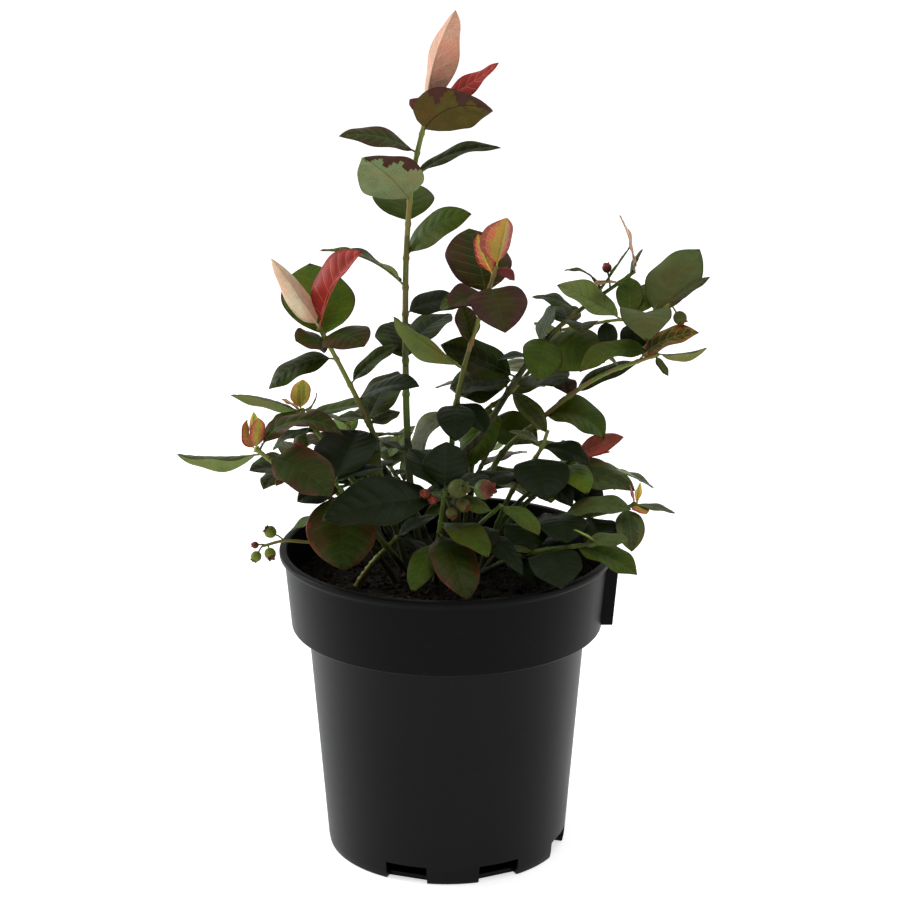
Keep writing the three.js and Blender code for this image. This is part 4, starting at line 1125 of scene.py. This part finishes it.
def leaf_finish(name, colour):
    """Leaf skin: clouded, tanned in patches, with a net of fine sunk veins, and a soft wax gloss."""
    material, tree, surface = blank_finish("leaf_" + name)
    base = screen_colour(*colour)
    darker = tuple(0.7 * c for c in base[:3]) + (1,)
    tanned = (1.12 * base[0], 0.72 * base[1], 0.7 * base[2], 1)
    lighter = tuple(1.2 * c + 0.002 for c in base[:3]) + (1,)
    where = add_node(tree, "ShaderNodeTexCoord").outputs["Object"]
    clouds = noise(tree, where, 130.0, 4.0)
    tone = blend(tree, remap(tree, clouds, (0.35, 0.65), (0, 1)), darker, base)
    patches = noise(tree, where, 48.0, 3.0)
    tone = blend(tree, remap(tree, patches, (0.46, 0.62), (0, 0.85)), tone, tanned)
    cells = {"Vector": where, "Scale": 620.0}
    net = add_node(tree, "ShaderNodeTexVoronoi", cells, feature="DISTANCE_TO_EDGE")
    netted = remap(tree, net.outputs["Distance"], (0, 0.12), (0.5, 0))
    tree.links.new(blend(tree, netted, tone, lighter), surface.inputs["Base Color"])
    fine = noise(tree, where, 1800.0, 2.0)
    tree.links.new(remap(tree, fine, (0, 1), (0.38, 0.52)), surface.inputs["Roughness"])
    surface.inputs["Specular IOR Level"].default_value = LEAF_GLOSS
    dents = {"Height": netted, "Strength": 0.35, "Distance": 0.00015}
    bump = add_node(tree, "ShaderNodeBump", dents, invert=True)
    tree.links.new(bump.outputs["Normal"], surface.inputs["Normal"])
    return material


leaf_finishes = {name: leaf_finish(name, colour) for name, colour in TINTS.items()}


def leaf_rows():
    """Shares of the midrib at which a row of the blade starts, how far each row is quilted up, and
    which strips between rows are side veins."""
    veins = np.linspace(0.15, 0.88, VEIN_PAIRS)
    shares, lifts = [STALK_SHARE + 0.006, 0.105], [0, 0.4]
    for vein, after in zip(veins, [*veins[1:], 0.985]):
        room = after - vein
        shares += [vein - VEIN_WIDTH / 2, vein + VEIN_WIDTH / 2]
        lifts += [0, 0]
        shares += [vein + room * part for part in (0.28, 0.5, 0.72)]
        lifts += [0.75, 1, 0.75]
    strips = [any(abs((a + b) / 2 - vein) < 1e-6 for vein in veins) for a, b in zip(shares, shares[1:])]
    return np.array(shares), np.array(lifts), np.array(strips)


LEAF_SHARES, LEAF_LIFTS, VEIN_STRIPS = leaf_rows()


def half_width(share, belly):
    """Half of the blade's width over its greatest width: oval, and drawn to a point at the tip. A
    smaller belly sets the widest part nearer the stalk."""
    along = np.clip((share - STALK_SHARE) / (1 - STALK_SHARE), 0, 1)
    return 0.5 * np.sin(np.pi * along**belly) ** (0.62 + 0.25 * (1 - along) ** 6 + 0.3 * along**8)


def leaf_course(base, shape, sweep, share):
    """Where the midrib is at a share of the leaf, and the ways along it, to its left and off its face."""
    turn, rise, length, droop, tilt, _ = shape
    heading = np.array([math.cos(math.radians(turn)), math.sin(math.radians(turn)), 0])
    share = np.asarray(share, float)[..., None]
    slopes = np.radians(rise - droop * share * np.arange(1, 13) / 12)
    slope = slopes[..., -1:]
    along = heading * np.cos(slope) + UP * np.sin(slope)
    level = np.cross(UP, heading)
    upright = np.cross(along, level)
    lean = math.radians(tilt)
    side = math.cos(lean) * level - math.sin(lean) * upright
    face = math.cos(lean) * upright + math.sin(lean) * level
    out = length * share * np.cos(slopes).mean(-1, keepdims=True)
    climb = length * share * np.sin(slopes).mean(-1, keepdims=True)
    spot = base + heading * out + UP * climb + side * sweep * length * share**2
    return spot, along, side, face


def leaf_sheet(base, shape, special, shares, lifts, across, phase):
    """The middle of the blade's thickness: rows along the side veins, and the way off its face."""
    length, width = shape[2], shape[5]
    fold, curl = math.radians(special["fold"]), math.radians(special["curl"])
    reach, side_way = np.abs(across), np.sign(across)
    along_blade = np.clip((shares - STALK_SHARE) / (1 - STALK_SHARE), 0, 1)[:, None]
    shear = min(0.19, 0.4 * width) * np.sin(np.pi * along_blade) * reach * (0.75 + 0.25 * reach)
    share = shares[:, None] + shear
    half = half_width(share, special.get("belly", BELLY)) * length * width
    spot, _, side, face = leaf_course(base, shape, special["sweep"], share)
    sideways = half * (np.sin(fold + curl * reach) - math.sin(fold)) / curl * side_way
    height = half * (math.cos(fold) - np.cos(fold + curl * reach)) / curl
    turns = 2 * np.pi * (MARGIN_WAVES * share + phase * side_way)
    wave = special["wave"] * length * reach**2 * np.sin(turns)
    between_veins = np.sin(np.pi * np.minimum(reach * 1.15, 1)) ** 0.8
    quilt = QUILT_DEPTH * length * lifts[:, None] * between_veins
    off = height + wave * np.minimum(1, 4 * (1 - share)) + quilt
    return spot + side * sideways[..., None] + face * off[..., None], face


def blade_names(kind, across):
    """The tint of each face of a blade: row by row over its top and back under it, then its ends."""
    tints, (second, third), below, vein = KINDS[kind]
    middles = (across[:-1, :-1] + across[:-1, 1:]) / 2
    reach = np.abs(across)
    reaches = (reach[:-1, :-1] + reach[:-1, 1:]) / 2
    shifts = draw.uniform(0, 2 * np.pi, 2)
    along = LEAF_SHARES[:-1, None]
    waves = np.sin(along * 9 + shifts[0]) + np.sin(along * 23 + shifts[1])
    mottle = waves * np.sign(across[:-1, :-1]) * (MOTTLE if kind in MOTTLED_KINDS else SLIGHT_MOTTLE)
    zones = (reaches > second + mottle).astype(int) + (reaches > third + 0.1 * mottle)
    is_vein = VEIN_STRIPS[:, None] & (reaches < SIDE_VEIN_REACH)
    is_vein[:, len(ACROSS) - 1] = True
    start, lean = ROLLED_KINDS.get(kind, NOT_ROLLED)
    is_rolled = along + lean * middles + 0.1 * waves > start
    names = []
    for zone_row, vein_row, rolled_row in zip(zones, is_vein, is_rolled):
        top = [vein if veined else tints[zone] for zone, veined in zip(zone_row, vein_row)]
        under = top if kind in NEW_KINDS else [tints[0] if rolled else below for rolled in rolled_row]
        names += top + under[::-1]
    for tint in (tints[0], below, tints[-1], below):
        names += [tint] * reaches.shape[1]
    return names


def leaf_skins(base, shape, kind, special, phase):
    """The blade of two skins that meet at the margin, and the stalk that runs on as its midrib."""
    length, width, sweep = shape[2], shape[5], special["sweep"]
    widest = half_width(LEAF_SHARES, BELLY)[:, None] * length * width
    rib = MIDRIB_WIDTH * (1 - 0.7 * LEAF_SHARES[:, None]) / 2
    groove = np.clip(rib / np.maximum(widest, 0.1), 0, 0.4)
    right = groove + (1 - groove) * ACROSS
    across = np.concatenate([right, -right[:, ::-1]], axis=1)
    sheet, face = leaf_sheet(base, shape, special, LEAF_SHARES, LEAF_LIFTS, across, phase)
    thick = LEAF_THICKNESS / 2 * (1 - np.abs(across)[..., None] ** 6)
    upper = sheet + face * thick
    under = sheet - face * thick
    rings = np.concatenate([upper, under[:, -2:0:-1]], axis=1)
    stem = leaf_course(base, shape, sweep, STALK_SHARE * 0.8)[0]
    tip = leaf_course(base, shape, sweep, 1.0)[0]
    blade = (*skin_over(rings, stem, tip), blade_names(kind, across))

    shares = np.concatenate([np.linspace(0, STALK_SHARE, 4), np.linspace(0.14, 0.97, 13)])
    spots, _, side, face = leaf_course(base, shape, sweep, shares)
    sunk = np.interp(shares, [0, STALK_SHARE, 0.2, 1], [0, 0.1, 0.32, 0.22])[:, None]
    sizes = np.interp(shares, [0, STALK_SHARE, 0.3, 1], [0.62, 0.5, 0.42, 0.16]) * (0.6 + length / 100)
    spots = spots - face * sunk
    below, vein = KINDS[kind][2:]
    rings = tube(spots, sizes, 6, -side)
    return [blade, (*skin_over(rings, spots[0], spots[-1]), vein if kind in NEW_KINDS else below)]


def clearance_test(points, faces):
    return BVHTree.FromPolygons([tuple(p) for p in points], faces)


def coarse_leaf(base, shape, special, phase):
    """The blade with few faces, to feel for what it would touch."""
    rows = slice(3, None, 4)
    across = np.tile([1, 0.5, 0.02, -0.5, -1], (len(LEAF_SHARES[rows]), 1))
    sheet = leaf_sheet(base, shape, special, LEAF_SHARES[rows], LEAF_LIFTS[rows] * 0, across, phase)[0]
    count, wide = sheet.shape[:2]
    corners = np.arange(count * wide).reshape(count, wide)
    faces = [
        (corners[i, j], corners[i, j + 1], corners[i + 1, j + 1], corners[i + 1, j])
        for i in range(count - 1)
        for j in range(wide - 1)
    ]
    return clearance_test(sheet.reshape(-1, 3), [tuple(map(int, face)) for face in faces])


# The pot's collar and lip and the top of the mix, as radius and height, for leaves to keep off.
rim_foot = POT_HEIGHT - LIP_HEIGHT
pot_outline = [
    (0, COLLAR_FOOT),
    (COLLAR_RADIUS, COLLAR_FOOT),
    (COLLAR_TOP_RADIUS, rim_foot - 1),
    (LIP_RADIUS, rim_foot),
    (LIP_RADIUS, POT_HEIGHT),
    (86, POT_HEIGHT),
    (84, MIX_TOP - 2),
    (50, MIX_TOP),
    (0, MIX_TOP),
]
obstacles = [clearance_test(points, faces) for points, faces, _ in old_skins + young_skins + twig_skins]
obstacles.append(clearance_test(*lathe(pot_outline, 48)))
SWINGS = [0, 7, -7, 14, -14, 22, -22, 32, -32]  # degrees
# How far a leaf may turn and rise out of the way of another.
NUDGES = [(a, b) for a in SWINGS for b in SWINGS if abs(a) + abs(b) <= max(SWINGS)]

FRONT_SHOOTS = ["front", "front_left", "front_right", "front_middle", "low_right", "low_left", "sucker"]
BACK_SHOOTS = ["back", "back_middle", "back_right", "behind_right", "behind_left", "far_left", "back_left"]
canopy_shoots = [name for name in SHOOTS if name not in FRONT_SHOOTS + BACK_SHOOTS]
new_leaf_shoots = set()
grown = {"front": [], "canopy": [], "back": [], "new": []}
for name, row, course in leafy_limbs:
    group = "front" if name in FRONT_SHOOTS else "back" if name in BACK_SHOOTS else "canopy"
    for share, turn, rise, length, droop, tilt, width, kind, *rest in row["leaves"]:
        special = {
            "fold": draw.uniform(4, 16),
            "curl": draw.uniform(-20, -3),
            "wave": draw.uniform(0.012, 0.04),
            "sweep": draw.uniform(-0.05, 0.05),
        }
        special.update(rest[0] if rest else {})
        phase = draw.uniform()
        base = spot_on(course, share)
        for aside, up in NUDGES:
            shape = (turn + aside, rise + up, length, droop, tilt, width)
            felt = coarse_leaf(base, shape, special, phase)
            if not any(felt.overlap(other) for other in obstacles):
                break
        else:
            shape = (turn, rise, length, droop, tilt, width)
            felt = coarse_leaf(base, shape, special, phase)
        obstacles.append(felt)
        if kind in NEW_KINDS:
            new_leaf_shoots.add(name)
        place = "new" if kind in NEW_KINDS else group
        grown[place] += leaf_skins(base, shape, kind, special, phase)

for piece_name, group, slot, nodes in [
    ("front_leaves", "front", "leaves", shoot_nodes(FRONT_SHOOTS)),
    ("back_leaves", "back", "leaves", shoot_nodes(BACK_SHOOTS)),
    ("canopy_leaves", "canopy", "leaves", shoot_nodes(canopy_shoots)),
    ("new_leaves", "new", "new_leaves", sorted(shoot_nodes(new_leaf_shoots))),
]:
    piece = make_piece(piece_name, grown[group], leaf_finishes)
    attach(piece, "root")
    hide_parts(*nodes)

# ------------------------------------------------------------------ fruit
# Unripe berries and spent flowers on thin stalks: round green fruit with a five-lobed crown at the
# far end, and small cups flushed red where the petals have dropped.

FRUIT_SIDES = 20
FRUIT_TINTS = {
    "fruit_green": (72, 86, 42),
    "fruitlet_green": (112, 122, 46),
    "fruit_flush": (98, 64, 46),
    "crown_red": (92, 46, 36),
    "crown_green": (78, 84, 40),
    "cup_orange": (134, 62, 40),
    "cup_brown": (84, 56, 36),
}
# Each kind's tints: its body, its shoulder, its crown and its stalk.
FRUIT_KINDS = {
    "berry": ("fruit_green", "fruit_flush", "crown_red", "crown_green"),
    "unripe": ("fruit_green", "fruit_green", "crown_green", "crown_green"),
    "fruitlet": ("fruitlet_green", "fruitlet_green", "cup_brown", "fruitlet_green"),
    "cup": ("crown_green", "crown_green", "cup_brown", "crown_green"),
    "spent": ("crown_green", "crown_green", "cup_orange", "crown_green"),
    "bud": ("crown_red", "cup_orange", "cup_orange", "crown_green"),
}
# Radius and height from the stalk's end to inside the crown, as shares of the fruit's radius.
FRUIT_PROFILE = [
    (0.3, -0.95),
    (0.58, -0.82),
    (0.82, -0.56),
    (0.97, -0.2),
    (1, 0.1),
    (0.93, 0.42),
    (0.78, 0.66),
    (0.64, 0.78),
    (0.62, 0.92),
    (0.7, 1.06),
    (0.5, 0.98),
    (0.42, 0.78),
    (0.2, 0.7),
]


def fruit_skins(base, turn, rise, stalk, radius, kind):
    """A ball with a lobed crown on a bowed stalk."""
    turn, rise = math.radians(turn), math.radians(rise)
    heading = np.array([math.cos(turn), math.sin(turn), 0])
    along = heading * math.cos(rise) + UP * math.sin(rise)
    across = unit(np.cross(along, UP))
    over = np.cross(along, across)
    steps = np.linspace(0, 1, 9)[:, None]
    course = base + along * stalk * 1.05 * steps + UP * stalk * 0.12 * np.sin(np.pi * steps)
    stalk_rings = tube(course, 0.45 + 0.2 * (np.abs(steps[:, 0] - 0.5) * 2) ** 4, 8, across)

    middle = base + along * (stalk + radius * 0.8)
    angles = np.arange(FRUIT_SIDES) * 2 * np.pi / FRUIT_SIDES
    circle = np.outer(np.cos(angles), across) + np.outer(np.sin(angles), over)
    lobes = 0.1 * np.cos(5 * angles)
    rings = []
    for wide, far in FRUIT_PROFILE:
        flare = lobes * (far > 0.9 and wide > 0.6)
        ring = circle * (wide + flare)[:, None] + np.outer(far + flare, along)
        rings.append(middle + radius * ring)
    body, shoulder, crown, stem = FRUIT_KINDS[kind]
    names = []
    for tint in [body] * 5 + [shoulder] * 2 + [crown] * 5 + [body, crown]:
        names += [tint] * FRUIT_SIDES
    ball = (*skin_over(rings, middle - along * radius, middle + along * radius * 0.68), names)
    return [ball, (*skin_over(stalk_rings, course[0], course[-1]), stem)]


fruit_finishes = {name: leaf_finish(name, colour) for name, colour in FRUIT_TINTS.items()}
fruit = []
fruit_shoots = set()
for name, row, course in leafy_limbs:
    for share, *shape in row.get("fruit", []):
        fruit += fruit_skins(spot_on(course, share), *shape)
        fruit_shoots.add(name)
piece = make_piece("berries_and_cups", fruit, fruit_finishes)
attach(piece, "root")
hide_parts(*sorted(shoot_nodes(fruit_shoots)))

# ------------------------------------------------------------------ finished bush
# The sizes of the solids and of the visual model, side by side.

size = {"cad": [list(corner) for corner in cad_box], "visual": [list(corner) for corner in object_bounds()]}
